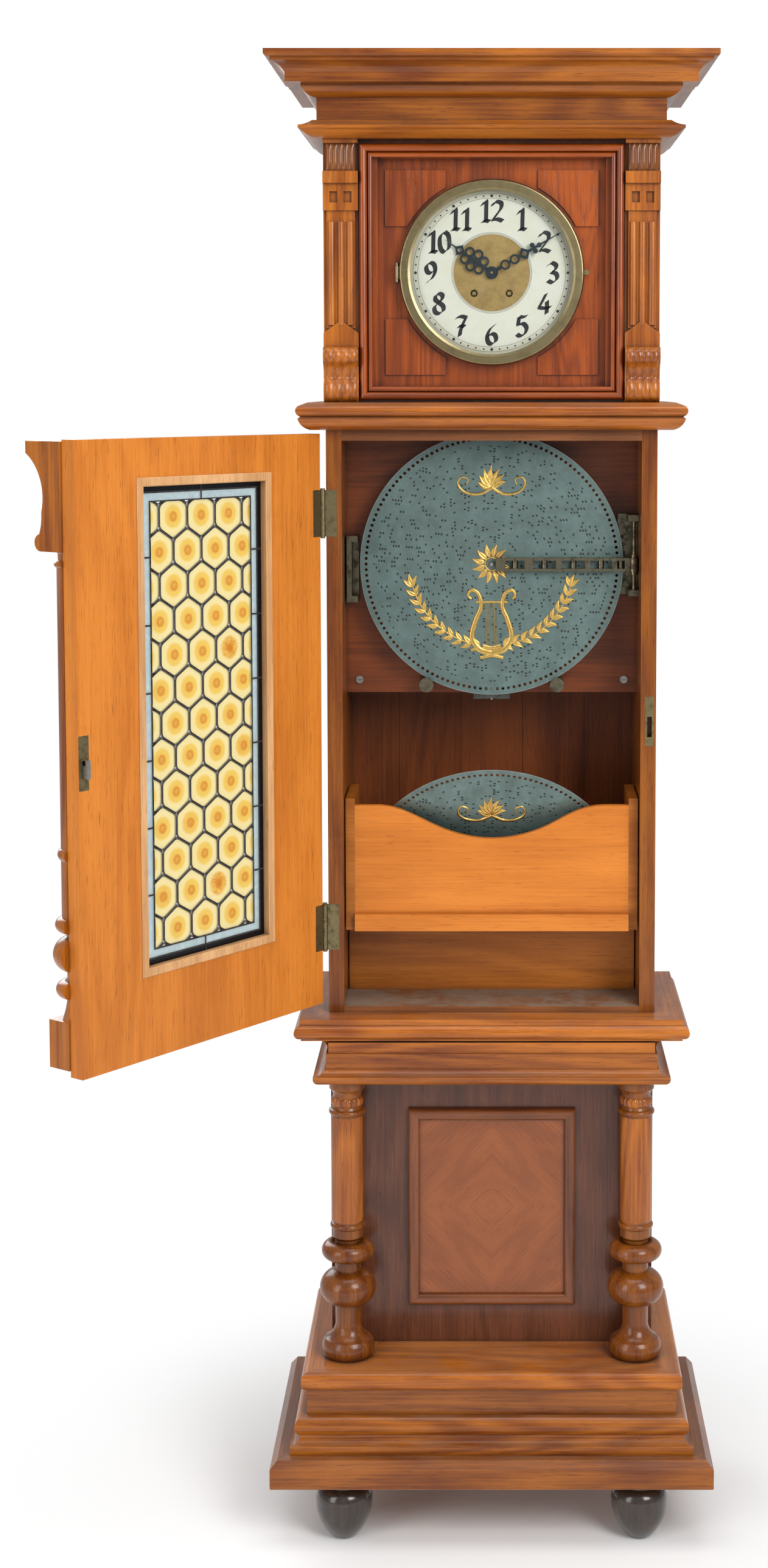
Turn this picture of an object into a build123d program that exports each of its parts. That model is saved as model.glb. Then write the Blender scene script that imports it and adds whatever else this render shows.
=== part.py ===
from build123d import *
import os
from math import cos, radians, sin, sqrt

# A longcase clock with a disc musical box in its trunk. Millimetres, +Z up.
# The origin is on the floor, midway between the four feet. The front faces -Y.
# The door stands open, as the clock was shown.

os.makedirs("parts", exist_ok=True)

# Case
case_width = 425.0
case_depth = 215.0
side_board = 20.0
shelf_board = 20.0
plank = 12.0
plank_count = 5
plank_gap = 0.4

# Feet, slab and plinth
foot_height = 82.0
foot_radius = 37.0
foot_sole = 15.0
foot_inset_front = 50.0
foot_inset_side = 92.0
slab_width = 568.0
slab_front = 115.0
slab_height = 36.0
slab_bevel = 9.0
plinth_width = 478.0
plinth_front = 72.0
plinth_height = 79.0
plinth_wall = 18.0
plinth_moulding_height = 45.0
plinth_moulding_out = 21.0
plinth_top_width = 492.0
plinth_top_front = 80.0
plinth_top_height = 23.0
plinth_top_round = 8.0

# Pedestal
pedestal_height = 371.0
pedestal_recess = 26.0
pedestal_board = 18.0
panel_width = 221.0
panel_height = 266.0
panel_frame_width = 15.0
panel_frame_out = 10.0
panel_rise = 3.0
column_inset = 24.0
column_forward = 14.0
column_shaft_radius = 20.0
column_bulb_radius = 37.0
column_ring_radius = 34.5

# Waist
waist_height = 38.0
waist_side = 2.0
waist_front = 36.0
waist_wall = 20.0
waist_floor = 12.0
waist_bead_height = 18.0
waist_bead_out = 16.0
waist_moulding_height = 45.0
waist_moulding_out = 43.0
waist_inset = 3.0
ledge_height = 14.0

# Trunk
trunk_height = 760.0
sill_height = 8.0
head_rail_height = 29.0
head_rail_board = 18.0

# Hood
hood_base_height = 35.0
hood_base_out = 36.0
hood_height = 331.0
hood_board = 18.0
dial_height = 165.0
dial_opening_width = 290.0
dial_opening_height = 289.0
dial_frame_width = 336.0
dial_frame_height = 323.0
dial_frame_out = 16.0
dial_bead_out = 11.0
dial_board_width = 330.0
dial_board_thickness = 12.0
pilaster_width = 44.5
pilaster_lap = 1.0
pilaster_depth = 14.0
entablature_height = 50.0
entablature_side = 7.5
entablature_front = 25.0
architrave_height = 22.0
architrave_out = 22.0
cornice_height = 53.0
cornice_out = 61.0
cornice_back = 20.0
top_board = 12.0

# Dial, bezel and hands
chapter_outer = 105.0
chapter_inner = 49.0
chapter_thickness = 4.0
spandrel_width = 272.0
spandrel_height = 260.0
spandrel_arc = 123.0
spandrel_reach = 118.0
spandrel_rise = 3.0
sight_ring_outer = 117.5
sight_ring_depth = 8.0
bezel_outer = 118.0
bezel_inner = 113.4
bezel_lip = 104.0
bezel_front = 2.0
bezel_depth = 11.7
bezel_glass_thickness = 2.0
bezel_pin_out = 121.0
bezel_pin_depth = 4.0
winding_hole_radius = 4.7
winding_hole_out = 22.5
winding_hole_drop = 26.0
minute_hand_length = 109.0
minute_hand_depth = 8.0
minute_angle = 60.0
hour_hand_length = 75.0
hour_hand_depth = 10.5
hour_angle = 305.0
hand_thickness = 1.0
cannon_radius = 3.0
hour_pipe_wall = 1.2
running_fit = 0.05

# Clock movement
movement_size = 116.0
movement_drop = 17.0
movement_depth = 46.0
movement_plate = 2.5
movement_space = 52.0
pillar_radius = 4.0
pillar_inset = 8.0
barrel_radius = 21.0
barrel_length = 34.0
arbor_radius = 3.0
winding_square = 4.2
motion_centres = 24.0
centre_stud = 1.5
cannon_teeth = 12
motion_teeth = 36
motion_pinion_teeth = 10
hour_wheel_teeth = 40
motion_depth = 42.0
hour_wheel_depth = 36.0
wheel_thickness = 3.0
pendulum_rise = 35.0
pendulum_length = 150.0
bob_radius = 24.0
bob_thickness = 10.0
gong_place = 105.0
gong_rod_length = 240.0
gong_rod_radius = 2.0

# Musical box
disc_radius = 172.5
disc_thickness = 1.0
disc_height = 583.0
disc_depth = 60.0
drive_hole_circle = 164.8
drive_hole_count = 140
drive_hole_radius = 2.0
spindle_radius = 3.5
spindle_shoulder = 9.0
music_board_depth = 90.0
music_board_thickness = 18.0
music_board_height = 365.0
screw_radius = 5.0
bedplate_radius = 140.0
bedplate_thickness = 10.0
sprocket_pins = 12
sprocket_pin_radius = 0.8
sprocket_pin_reach = 1.5
sprocket_wheel_gap = 0.43
sprocket_arbor = 2.0
star_radius = 7.0
star_points = 6
star_count = 12
star_pitch = 9.6
star_first = 22.0
star_depth = 72.0
star_shaft = 1.5
comb_pitch = 2.6
comb_teeth = 40
comb_tooth_length = 26.0
comb_base_height = 24.0
comb_gap = 1.2
bar_rod_radius = 2.5
bar_rod_inset = 6.5
bar_eye_radius = 6.0
bar_height = 17.5
bar_depth = 48.0
bar_thickness = 10.0
bar_roller_radius = 4.0
bracket_height = 106.0
bracket_rise = 12.0
bracket_arm = 8.0
guide_radius = 8.0
guide_flange = 9.5
guide_out = 86.0
guide_gap = 0.5
motor_radius = 48.0
motor_depth = 42.0
motor_rise = 90.0

# Disc rack
rack_depth = 20.0
rack_board = 10.0
rack_end = 12.0
rack_bottom = 97.0
rack_height = 165.0
rack_end_height = 174.0
rack_end_depth = 110.0
rack_dip = 44.0
rack_dip_width = 260.0
rack_lip_height = 22.0
rack_lip_out = 8.0
rack_panel_depth = 88.0
spare_disc_lean = 26.0
spare_disc_top_depth = 8.0
seat_gap = 0.3

# Door
door_open_angle = 126.7
door_thickness = 20.0
door_gap = 0.5
door_bottom_gap = 13.5
door_top_gap = 5.0
pin_offset = 4.5
hinge_stile = 104.0
lock_stile = 109.0
top_rail = 57.0
bottom_rail = 110.5
rebate_width = 11.0
bead_proud = 1.8
bead_depth = 8.0
glass_panel_thickness = 3.0
glass_panel_gap = 0.5
glass_inset = 0.5
roundel_pitch = 48.0
roundel_rows = 13
roundel_corner = 7.0
field_width = 174.0
field_height = 536.0
came = 3.0
edge_came = 1.5
strip_came = 2.0
pale_strip = 9.0
cross_lead_pitch = 81.0
cross_lead_count = 6
half_column_inset = 25.0
half_column_radius = 26.0
half_column_bulb = 37.0
half_column_ring = 34.0
block_width = 54.0
block_height = 57.0
block_rise = 7.5
block_out = 33.0
console_height = 127.0
console_out = 58.0
console_foot = 45.0
console_drop = 2.0

# Hinges and lock
knuckle_radius = 3.5
pin_radius = 1.5
leaf_thickness = 1.5
leaf_height = 60.0
leaf_reach = 18.0
leaf_clearance = 0.1
upper_hinge_drop = 102.0
lower_hinge_rise = 100.0
lock_rise = 370.0
lock_height = 64.0
lock_plate_width = 16.0
lock_case_width = 34.0
lock_case_depth = 12.0
bolt_inset = 8.5
bolt_thickness = 4.0
bolt_drop = 17.5
bolt_height = 15.0
bolt_nose = 7.0
bolt_nose_depth = 4.0
bolt_reach = 9.0
bolt_root = 6.0
bolt_throw = 5.0
strike_width = 11.0
escutcheon_radius = 7.0
key_radius = 2.5

# Levels, from the floor up
plinth_bottom = foot_height + slab_height
plinth_top_bottom = plinth_bottom + plinth_height
pedestal_bottom = plinth_top_bottom + plinth_top_height
waist_bottom = pedestal_bottom + pedestal_height
waist_moulding_bottom = waist_bottom + waist_height
ledge_top = waist_moulding_bottom + ledge_height
trunk_bottom = waist_moulding_bottom + waist_moulding_height
floor_top = trunk_bottom + sill_height
hood_base_bottom = trunk_bottom + trunk_height
hood_bottom = hood_base_bottom + hood_base_height
entablature_bottom = hood_bottom + hood_height
cornice_bottom = entablature_bottom + entablature_height
cornice_top = cornice_bottom + cornice_height
dial_level = hood_bottom + dial_height
disc_level = trunk_bottom + disc_height

# Planes of the case
half_width = case_width / 2
inner_half = half_width - side_board
front = (slab_front - case_depth) / 2
back = front + case_depth
plank_face = back - plank
pedestal_face = front + pedestal_recess

# The door's hinge pin, its levels, and its directions while it stands open
pin_x = -half_width - pin_offset
pin_y = front - door_gap / 2
door_inner = door_gap / 2
door_outer = door_inner + door_thickness
door_bottom = trunk_bottom + door_bottom_gap
door_top = hood_base_bottom - door_top_gap
hinge_levels = (door_bottom + lower_hinge_rise, door_top - upper_hinge_drop)
open_turn = radians(door_open_angle)
along = Vector(cos(open_turn), -sin(open_turn), 0)
outward = Vector(-sin(open_turn), -cos(open_turn), 0)

# The lock bolt and its slot
lock_level = door_bottom + lock_rise
bolt_x = half_width - bolt_inset
bolt_bottom = lock_level - bolt_drop
bolt_top = bolt_bottom + bolt_height + bolt_nose
slot_rise = (bolt_bottom - 3, bolt_top + 1.5)


def facing(y, x=0.0, z=0.0):
    """A plane at depth y that faces the front, with local x to the right and local y up."""
    return Plane(origin=(x, y, z), x_dir=(1, 0, 0), z_dir=(0, -1, 0))


def upward(x, y, z):
    """A level plane at a point, facing up."""
    return Plane(origin=(x, y, z), x_dir=(1, 0, 0), z_dir=(0, 0, 1))


def door_point(u, w, z):
    """A point of the open door: u from the pin along the door, w towards its outer face."""
    return (pin_x + u * along.X + w * outward.X, pin_y + u * along.Y + w * outward.Y, z)


def door_face(w, u=0.0, z=0.0):
    """A plane of the open door that faces outward, with local x along the door and y up."""
    return Plane(origin=door_point(u, w, z), x_dir=along, z_dir=outward)


def door_axis(u, w, z):
    """An upright plane of the open door for half turnings that stand out from its face."""
    return Plane(origin=door_point(u, w, z), x_dir=-along, z_dir=-outward)


def door_side(u):
    """A plane across the open door, with local x outward and local y up."""
    return Plane(origin=door_point(u, 0, 0), x_dir=outward, z_dir=-along)


def board(x_span, y_span, z_span, mode=Mode.ADD):
    """A plain board between the given limits."""
    middle = [(low + high) / 2 for low, high in (x_span, y_span, z_span)]
    lengths = [high - low for low, high in (x_span, y_span, z_span)]
    with Locations(tuple(middle)):
        Box(*lengths, mode=mode)


def door_board(u_span, w_span, z_span, mode=Mode.ADD):
    """A plain board of the open door between the given limits."""
    middle = (sum(u_span) / 2, sum(z_span) / 2)
    with BuildSketch(door_face(w_span[0])) as section:
        with Locations(middle):
            Rectangle(u_span[1] - u_span[0], z_span[1] - z_span[0])
    extrude(section.sketch, amount=w_span[1] - w_span[0], mode=mode)


def rod(plane, radius, length, mode=Mode.ADD):
    """A round bar that starts on a plane and runs along its normal."""
    with BuildSketch(plane) as section:
        Circle(radius)
    extrude(section.sketch, amount=length, mode=mode)


def turn(plane, outline, arc=360):
    """Turn an outline about its plane's own local y axis."""
    with BuildSketch(plane) as section:
        with BuildLine():
            outline()
        make_face()
    revolve(section.sketch, axis=Axis(plane.origin, plane.y_dir), revolution_arc=arc)


def run_moulding(half, wall_front, level, outline):
    """Carry an outline forward along one side, across the front and back along the other."""
    with BuildLine() as route:
        corners = ((-half, back), (-half, wall_front), (half, wall_front), (half, back))
        Polyline(*[(x, y, level) for x, y in corners])
    with BuildSketch(Plane(origin=(-half, back, level), x_dir=(-1, 0, 0), z_dir=(0, 1, 0))) as section:
        with BuildLine():
            outline()
        make_face()
    sweep(section.sketch, path=route.wire(), transition=Transition.RIGHT)


def gear(teeth, module, first_angle):
    """Draw a toothed wheel with slim straight-sided teeth, the first one at first_angle."""
    pitch = teeth * module / 2
    root = pitch - 1.1 * module
    tip = pitch + 0.75 * module
    foot = 0.7 * module
    nose = 0.3 * module
    with BuildSketch() as tooth:
        with BuildLine():
            Polyline((0, -foot), (root, -foot), (tip, -nose), (tip, nose), (root, foot), (0, foot))
            Line((0, foot), (0, -foot))
        make_face()
    Circle(root)
    with PolarLocations(0, teeth, start_angle=first_angle):
        add(tooth.sketch)


def foot_outline():
    """A squashed ball on a small sole, with a collar under the slab."""
    r, h = foot_radius, foot_height
    Polyline((0, h), (0, 0), (foot_sole, 0))
    ThreePointArc((foot_sole, 0), (0.84 * r, 0.27 * h), (r, 0.6 * h))
    ThreePointArc((r, 0.6 * h), (0.93 * r, 0.76 * h), (0.72 * r, 0.86 * h))
    Polyline((0.72 * r, 0.86 * h), (0.72 * r, h), (0, h))


def plinth_outline():
    """A fillet, a hollow and a torus, from the bottom up."""
    out, h = plinth_moulding_out, plinth_moulding_height
    Polyline((0, h), (0, 0), (out, 0), (out, 0.27 * h))
    ThreePointArc((out, 0.27 * h), (0.53 * out, 0.34 * h), (0.43 * out, 0.49 * h))
    ThreePointArc((0.43 * out, 0.49 * h), (0.74 * out, 0.74 * h), (0.43 * out, h))
    Line((0.43 * out, h), (0, h))


def waist_bead_outline():
    """A rounded bead under a hollow."""
    out, h = waist_bead_out, waist_bead_height
    Polyline((0, h), (0, 0), (0.5 * out, 0))
    ThreePointArc((0.5 * out, 0), (0.86 * out, 0.17 * h), (out, 0.42 * h))
    Line((out, 0.42 * h), (out, 0.62 * h))
    ThreePointArc((out, 0.62 * h), (0.45 * out, 0.7 * h), (0.12 * out, h))
    Line((0.12 * out, h), (0, h))


def waist_outline():
    """A hollow, a step, a bold torus and a fillet."""
    out, h = waist_moulding_out, waist_moulding_height
    Polyline((0, h), (0, 0), (0.05 * out, 0))
    ThreePointArc((0.05 * out, 0), (0.25 * out, 0.27 * h), (0.7 * out, 0.37 * h))
    Polyline((0.7 * out, 0.37 * h), (0.8 * out, 0.37 * h), (0.8 * out, 0.42 * h))
    ThreePointArc((0.8 * out, 0.42 * h), (out, 0.63 * h), (0.8 * out, 0.84 * h))
    Polyline((0.8 * out, 0.84 * h), (0.84 * out, 0.84 * h), (0.84 * out, h), (0, h))


def hood_base_outline():
    """Two rounds that meet in a quirk."""
    out, h = hood_base_out, hood_base_height
    Polyline((0, h), (0, 0), (0.5 * out, 0))
    ThreePointArc((0.5 * out, 0), (0.8 * out, 0.17 * h), (0.93 * out, 0.42 * h))
    Polyline((0.93 * out, 0.42 * h), (0.84 * out, 0.48 * h), (0.93 * out, 0.54 * h))
    ThreePointArc((0.93 * out, 0.54 * h), (out, 0.72 * h), (0.9 * out, 0.88 * h))
    Polyline((0.9 * out, 0.88 * h), (0.6 * out, h), (0, h))


def architrave_outline():
    """A hollow under a rounded nose."""
    out, h = architrave_out, architrave_height
    Polyline((0, h), (0, 0), (0.1 * out, 0))
    ThreePointArc((0.1 * out, 0), (0.55 * out, 0.18 * h), (0.85 * out, 0.42 * h))
    Polyline((0.85 * out, 0.42 * h), (out, 0.5 * h), (out, 0.66 * h))
    ThreePointArc((out, 0.66 * h), (0.6 * out, 0.78 * h), (0.25 * out, h))
    Line((0.25 * out, h), (0, h))


def cornice_outline():
    """From the frieze up: an ovolo, a corona with its drip, a hollow and the top fillet."""
    out, h = cornice_out, cornice_height
    Polyline((-cornice_back, h), (-cornice_back, 0), (0, 0))
    ThreePointArc((0, 0), (0.2 * out, 0.09 * h), (0.3 * out, 0.24 * h))
    Polyline((0.3 * out, 0.24 * h), (0.3 * out, 0.3 * h), (0.6 * out, 0.3 * h), (0.6 * out, 0.51 * h))
    ThreePointArc((0.6 * out, 0.51 * h), (0.72 * out, 0.67 * h), (0.88 * out, 0.75 * h))
    Polyline((0.88 * out, 0.75 * h), (0.88 * out, 0.81 * h), (0.97 * out, 0.84 * h))
    Polyline((0.97 * out, 0.84 * h), (out, 0.88 * h), (out, h), (-cornice_back, h))


def column_outline():
    """Half of a pedestal column: ring base, bell foot, bulb, ring, shaft and cap."""
    shaft, bulb, ring, h = column_shaft_radius, column_bulb_radius, column_ring_radius, pedestal_height
    slim = 0.84 * shaft
    Polyline((0, h), (0, 0), (0.88 * ring, 0))
    ThreePointArc((0.88 * ring, 0), (ring, 12), (0.88 * ring, 24))
    ThreePointArc((0.88 * ring, 24), (0.63 * ring, 31), (slim, 48))
    Line((slim, 48), (slim, 70))
    ThreePointArc((slim, 70), (bulb, 93), (slim, 115))
    Line((slim, 115), (slim, 132))
    ThreePointArc((slim, 132), (ring, 142), (slim, 152))
    Polyline((slim, 152), (slim, 157), (shaft, 161), (shaft, 172))
    ThreePointArc((shaft, 172), (shaft + 3, 176), (shaft, 180))
    Line((shaft, 180), (shaft, h - 47))
    ThreePointArc((shaft, h - 47), (shaft + 4, h - 43), (shaft, h - 39))
    Polyline((shaft, h - 39), (0.94 * shaft, h - 36), (0.94 * shaft, h - 24))
    ThreePointArc((0.94 * shaft, h - 24), (0.99 * shaft, h - 16), (1.17 * shaft, h - 12))
    Polyline((1.17 * shaft, h - 12), (1.17 * shaft, h), (0, h))


def half_column_outline():
    """Half of a door column, from the top of its block up to its console."""
    shaft, bulb, ring = half_column_radius, half_column_bulb, half_column_ring
    slim = 0.8 * shaft
    h = door_top - console_drop - console_height - (door_bottom + block_rise + block_height)
    Polyline((0, h), (0, 0), (block_width / 2, 0))
    ThreePointArc((block_width / 2, 0), (0.9 * shaft, 12), (slim, 28))
    ThreePointArc((slim, 28), (ring, 37), (slim, 46))
    Line((slim, 46), (slim, 58))
    ThreePointArc((slim, 58), (bulb, 78), (slim, 99))
    Line((slim, 99), (slim, 106))
    ThreePointArc((slim, 106), (ring, 114), (shaft, 122))
    Line((shaft, 122), (shaft, 189))
    ThreePointArc((shaft, 189), (shaft + 4, 196), (shaft, 203))
    Line((shaft, 203), (shaft, h - 18))
    ThreePointArc((shaft, h - 18), (shaft + 3, h - 14), (shaft, h - 10))
    Polyline((shaft, h - 10), (0.94 * shaft, h - 9), (0.94 * shaft, h - 2), (shaft, h), (0, h))


# Bun feet
with BuildPart() as bun_feet:
    foot_x = slab_width / 2 - foot_inset_side
    foot_y = (slab_front + case_depth) / 2 - foot_inset_front
    for x in (-foot_x, foot_x):
        for y in (-foot_y, foot_y):
            turn(facing(y, x), foot_outline)
bun_feet.part.label = "bun_feet"
export_step(bun_feet.part, "parts/bun_feet.step")

# Base slab, bevelled on its front and sides
with BuildPart() as base_slab:
    board((-slab_width / 2, slab_width / 2), (front - slab_front, back), (foot_height, plinth_bottom))
    chamfer(base_slab.faces().sort_by(Axis.Z)[-1].edges().sort_by(Axis.Y)[:-1], length=slab_bevel)
    fillet(base_slab.faces().sort_by(Axis.Z)[0].edges().sort_by(Axis.Y)[:-1], radius=slab_bevel / 3)
base_slab.part.label = "base_slab"
export_step(base_slab.part, "parts/base_slab.step")

# Plinth box, its moulding and its top
plinth_half = plinth_width / 2
plinth_face = front - plinth_front
plinth_rise = (plinth_bottom, plinth_top_bottom)
with BuildPart() as plinth_box:
    board((-plinth_half, plinth_half), (plinth_face, back), plinth_rise)
    hollow_half = plinth_half - plinth_wall
    hollow_depth = (plinth_face + plinth_wall, back - plinth_wall)
    board((-hollow_half, hollow_half), hollow_depth, plinth_rise, Mode.SUBTRACT)
plinth_box.part.label = "plinth_box"
export_step(plinth_box.part, "parts/plinth_box.step")

with BuildPart() as plinth_moulding:
    run_moulding(plinth_half, plinth_face, plinth_bottom, plinth_outline)
plinth_moulding.part.label = "plinth_moulding"
export_step(plinth_moulding.part, "parts/plinth_moulding.step")

with BuildPart() as plinth_top:
    top_half = plinth_top_width / 2
    board((-top_half, top_half), (front - plinth_top_front, back), (plinth_top_bottom, pedestal_bottom))
    nosed = plinth_top.faces().sort_by(Axis.Z)[-1].edges().sort_by(Axis.Y)[:-1]
    nosed += plinth_top.faces().sort_by(Axis.Z)[0].edges().sort_by(Axis.Y)[:-1]
    fillet(nosed, radius=plinth_top_round)
plinth_top.part.label = "plinth_top"
export_step(plinth_top.part, "parts/plinth_top.step")

# Pedestal
pedestal_sides_front = pedestal_face + pedestal_board
with BuildPart() as pedestal_sides:
    for side in (-1, 1):
        x_span = sorted((side * inner_half, side * half_width))
        board(x_span, (pedestal_sides_front, plank_face), (pedestal_bottom, waist_bottom))
pedestal_sides.part.label = "pedestal_sides"
export_step(pedestal_sides.part, "parts/pedestal_sides.step")

with BuildPart() as pedestal_front_board:
    board((-half_width, half_width), (pedestal_face, pedestal_sides_front), (pedestal_bottom, waist_bottom))
pedestal_front_board.part.label = "pedestal_front_board"
export_step(pedestal_front_board.part, "parts/pedestal_front_board.step")

panel_level = pedestal_bottom + pedestal_height / 2
veneer_width = panel_width - 2 * panel_frame_width
veneer_height = panel_height - 2 * panel_frame_width
with BuildPart() as pedestal_panel_frame:
    with BuildSketch(facing(pedestal_face, z=panel_level)):
        Rectangle(panel_width, panel_height)
        Rectangle(veneer_width, veneer_height, mode=Mode.SUBTRACT)
    extrude(amount=panel_frame_out)
    fillet(pedestal_panel_frame.faces().sort_by(Axis.Y)[0].edges(), radius=0.33 * panel_frame_width)
pedestal_panel_frame.part.label = "pedestal_panel_frame"
export_step(pedestal_panel_frame.part, "parts/pedestal_panel_frame.step")

with BuildPart() as pedestal_veneer_panel:
    with BuildSketch(facing(pedestal_face, z=panel_level)):
        Rectangle(veneer_width, veneer_height)
    extrude(amount=panel_rise)
pedestal_veneer_panel.part.label = "pedestal_veneer_panel"
export_step(pedestal_veneer_panel.part, "parts/pedestal_veneer_panel.step")

with BuildPart() as pedestal_columns:
    column_x = half_width - column_inset
    for x in (-column_x, column_x):
        turn(facing(front - column_forward, x, pedestal_bottom), column_outline)
pedestal_columns.part.label = "pedestal_columns"
export_step(pedestal_columns.part, "parts/pedestal_columns.step")

# Waist: a box with a bead along its foot, and the bold moulding above it
waist_half = half_width + waist_side
waist_face = front - waist_front
with BuildPart() as waist_frieze:
    board((-waist_half, waist_half), (waist_face, plank_face), (waist_bottom, waist_moulding_bottom))
    pocket_half = waist_half - waist_wall
    pocket_depth = (front + waist_wall, plank_face - waist_wall)
    pocket_rise = (waist_bottom + waist_floor, waist_moulding_bottom)
    board((-pocket_half, pocket_half), pocket_depth, pocket_rise, Mode.SUBTRACT)
    run_moulding(waist_half, waist_face, waist_bottom, waist_bead_outline)
waist_frieze.part.label = "waist_frieze"
export_step(waist_frieze.part, "parts/waist_frieze.step")

with BuildPart() as waist_moulding:
    run_moulding(half_width, front, waist_moulding_bottom, waist_outline)
    ledge_half = waist_half - waist_inset
    ledge_depth = (waist_face + waist_inset, back)
    board((-ledge_half, ledge_half), ledge_depth, (waist_moulding_bottom, ledge_top))
    board((-half_width, half_width), (front, back), (waist_moulding_bottom, trunk_bottom), Mode.SUBTRACT)
waist_moulding.part.label = "waist_moulding"
export_step(waist_moulding.part, "parts/waist_moulding.step")

# Side boards of trunk and hood, let in for the hinge leaves, the strike plate and the bolt
let_in = (front, front + leaf_thickness)
strike_span = (bolt_x - strike_width / 2, bolt_x + strike_width / 2)
strike_rise = (lock_level - lock_height / 2, lock_level + lock_height / 2)
with BuildPart() as case_sides:
    for side in (-1, 1):
        x_span = sorted((side * inner_half, side * half_width))
        board(x_span, (front, plank_face), (waist_moulding_bottom, cornice_bottom))
    for level in hinge_levels:
        recess_half = leaf_height / 2 + leaf_clearance
        recess_span = (-half_width, pin_x + leaf_reach + leaf_clearance)
        board(recess_span, let_in, (level - recess_half, level + recess_half), Mode.SUBTRACT)
    board(strike_span, let_in, strike_rise, Mode.SUBTRACT)
    board((bolt_x - 3.5, bolt_x + 3.5), (front, front + 12), (bolt_bottom - 7, bolt_top + 8), Mode.SUBTRACT)
case_sides.part.label = "case_sides"
export_step(case_sides.part, "parts/case_sides.step")

# Back planks
with BuildPart() as back_boards:
    plank_width = (case_width - (plank_count - 1) * plank_gap) / plank_count
    for place in range(plank_count):
        left = -half_width + place * (plank_width + plank_gap)
        board((left, left + plank_width), (plank_face, back), (pedestal_bottom, cornice_bottom))
back_boards.part.label = "back_boards"
export_step(back_boards.part, "parts/back_boards.step")

# Trunk floor, hood floor, head rail and top board
hood_floor = (hood_bottom - shelf_board, hood_bottom)
head_rail = (hood_floor[0] - head_rail_height, hood_floor[0])
with BuildPart() as case_shelves:
    board((-inner_half, inner_half), (front, plank_face), (floor_top - shelf_board, floor_top))
    board((-inner_half, inner_half), (front, plank_face), hood_floor)
    board((-inner_half, inner_half), (front, front + head_rail_board), head_rail)
    top_half = half_width + entablature_side - cornice_back
    top_span = (front - entablature_front + cornice_back, back)
    board((-top_half, top_half), top_span, (cornice_top - top_board, cornice_top))
    board((-top_half, top_half), (plank_face, back), (cornice_bottom, cornice_top - top_board))
case_shelves.part.label = "case_shelves"
export_step(case_shelves.part, "parts/case_shelves.step")

# Hood
with BuildPart() as hood_base_moulding:
    run_moulding(half_width, front, hood_base_bottom, hood_base_outline)
hood_base_moulding.part.label = "hood_base_moulding"
export_step(hood_base_moulding.part, "parts/hood_base_moulding.step")

dial_face = front + hood_board
with BuildPart() as hood_front_board:
    board((-inner_half, inner_half), (front, dial_face), (hood_bottom, cornice_bottom))
    with BuildSketch(facing(dial_face, z=dial_level)):
        Rectangle(dial_opening_width, dial_opening_height)
    extrude(amount=hood_board, mode=Mode.SUBTRACT)
hood_front_board.part.label = "hood_front_board"
export_step(hood_front_board.part, "parts/hood_front_board.step")

# Pilasters: scrolled console, gable, three reeds, recessed block, band and capital
pilaster_half = pilaster_width / 2
pilaster_middle = half_width + pilaster_lap - pilaster_half
console_top = hood_bottom + 70
gable_top = console_top + 34
shaft_top = entablature_bottom - 103
block_bottom = entablature_bottom - 89
block_top = entablature_bottom - 55
band_top = entablature_bottom - 40
lip_bottom = entablature_bottom - 5


def gable_outline():
    """A block with a pointed top."""
    half, low, shoulder = pilaster_half, console_top, gable_top - 16
    Polyline((-half, low), (half, low), (half, shoulder), (0, gable_top), (-half, shoulder), (-half, low))


def scroll_outline():
    """The side view of the console, which rolls outward at its top."""
    rise = console_top - hood_bottom
    Polyline((0, rise), (0, 0), (14, 0))
    ThreePointArc((14, 0), (20, 14), (15, 30))
    ThreePointArc((15, 30), (18, 42), (28, 52))
    ThreePointArc((28, 52), (30, 61), (22, rise))
    Line((22, rise), (0, rise))


with BuildPart() as hood_pilasters:
    for side in (-1, 1):
        middle = side * pilaster_middle
        full = (middle - pilaster_half, middle + pilaster_half)
        narrow = (middle - 18, middle + 18)
        board(full, (front - 6, front), (hood_bottom, entablature_bottom))
        board(narrow, (front - 11, front), (gable_top - 10, block_bottom))
        for reed in (-12, 0, 12):
            rod(upward(middle + reed, front - 10, gable_top - 6), 5, shaft_top - gable_top + 6)
        board(full, (front - pilaster_depth, front), (block_bottom, block_top))
        recess_rise = (block_bottom + 10, block_bottom + 24)
        for across in (-9, 9):
            recess_span = (middle + across - 5, middle + across + 5)
            board(recess_span, (front - pilaster_depth, front - 10), recess_rise, Mode.SUBTRACT)
        board(full, (front - 20, front), (block_top, band_top))
        board(narrow, (front - 16, front), (band_top, lip_bottom))
        board(full, (front - 21, front), (lip_bottom, entablature_bottom))
        with BuildSketch(facing(front, middle)):
            with BuildLine():
                gable_outline()
            make_face()
        extrude(amount=pilaster_depth)
        scroll_plane = Plane(origin=(full[1], front, hood_bottom), x_dir=(0, -1, 0), z_dir=(-1, 0, 0))
        with BuildSketch(scroll_plane):
            with BuildLine():
                scroll_outline()
            make_face()
        extrude(amount=pilaster_width)
hood_pilasters.part.label = "hood_pilasters"
export_step(hood_pilasters.part, "parts/hood_pilasters.step")

# Dial frame: an outer torus and a lower inner bead, mitred at the corners
frame_level = (hood_bottom + 3 + lip_bottom) / 2
frame_half_width = dial_frame_width / 2
frame_half_height = dial_frame_height / 2


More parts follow.
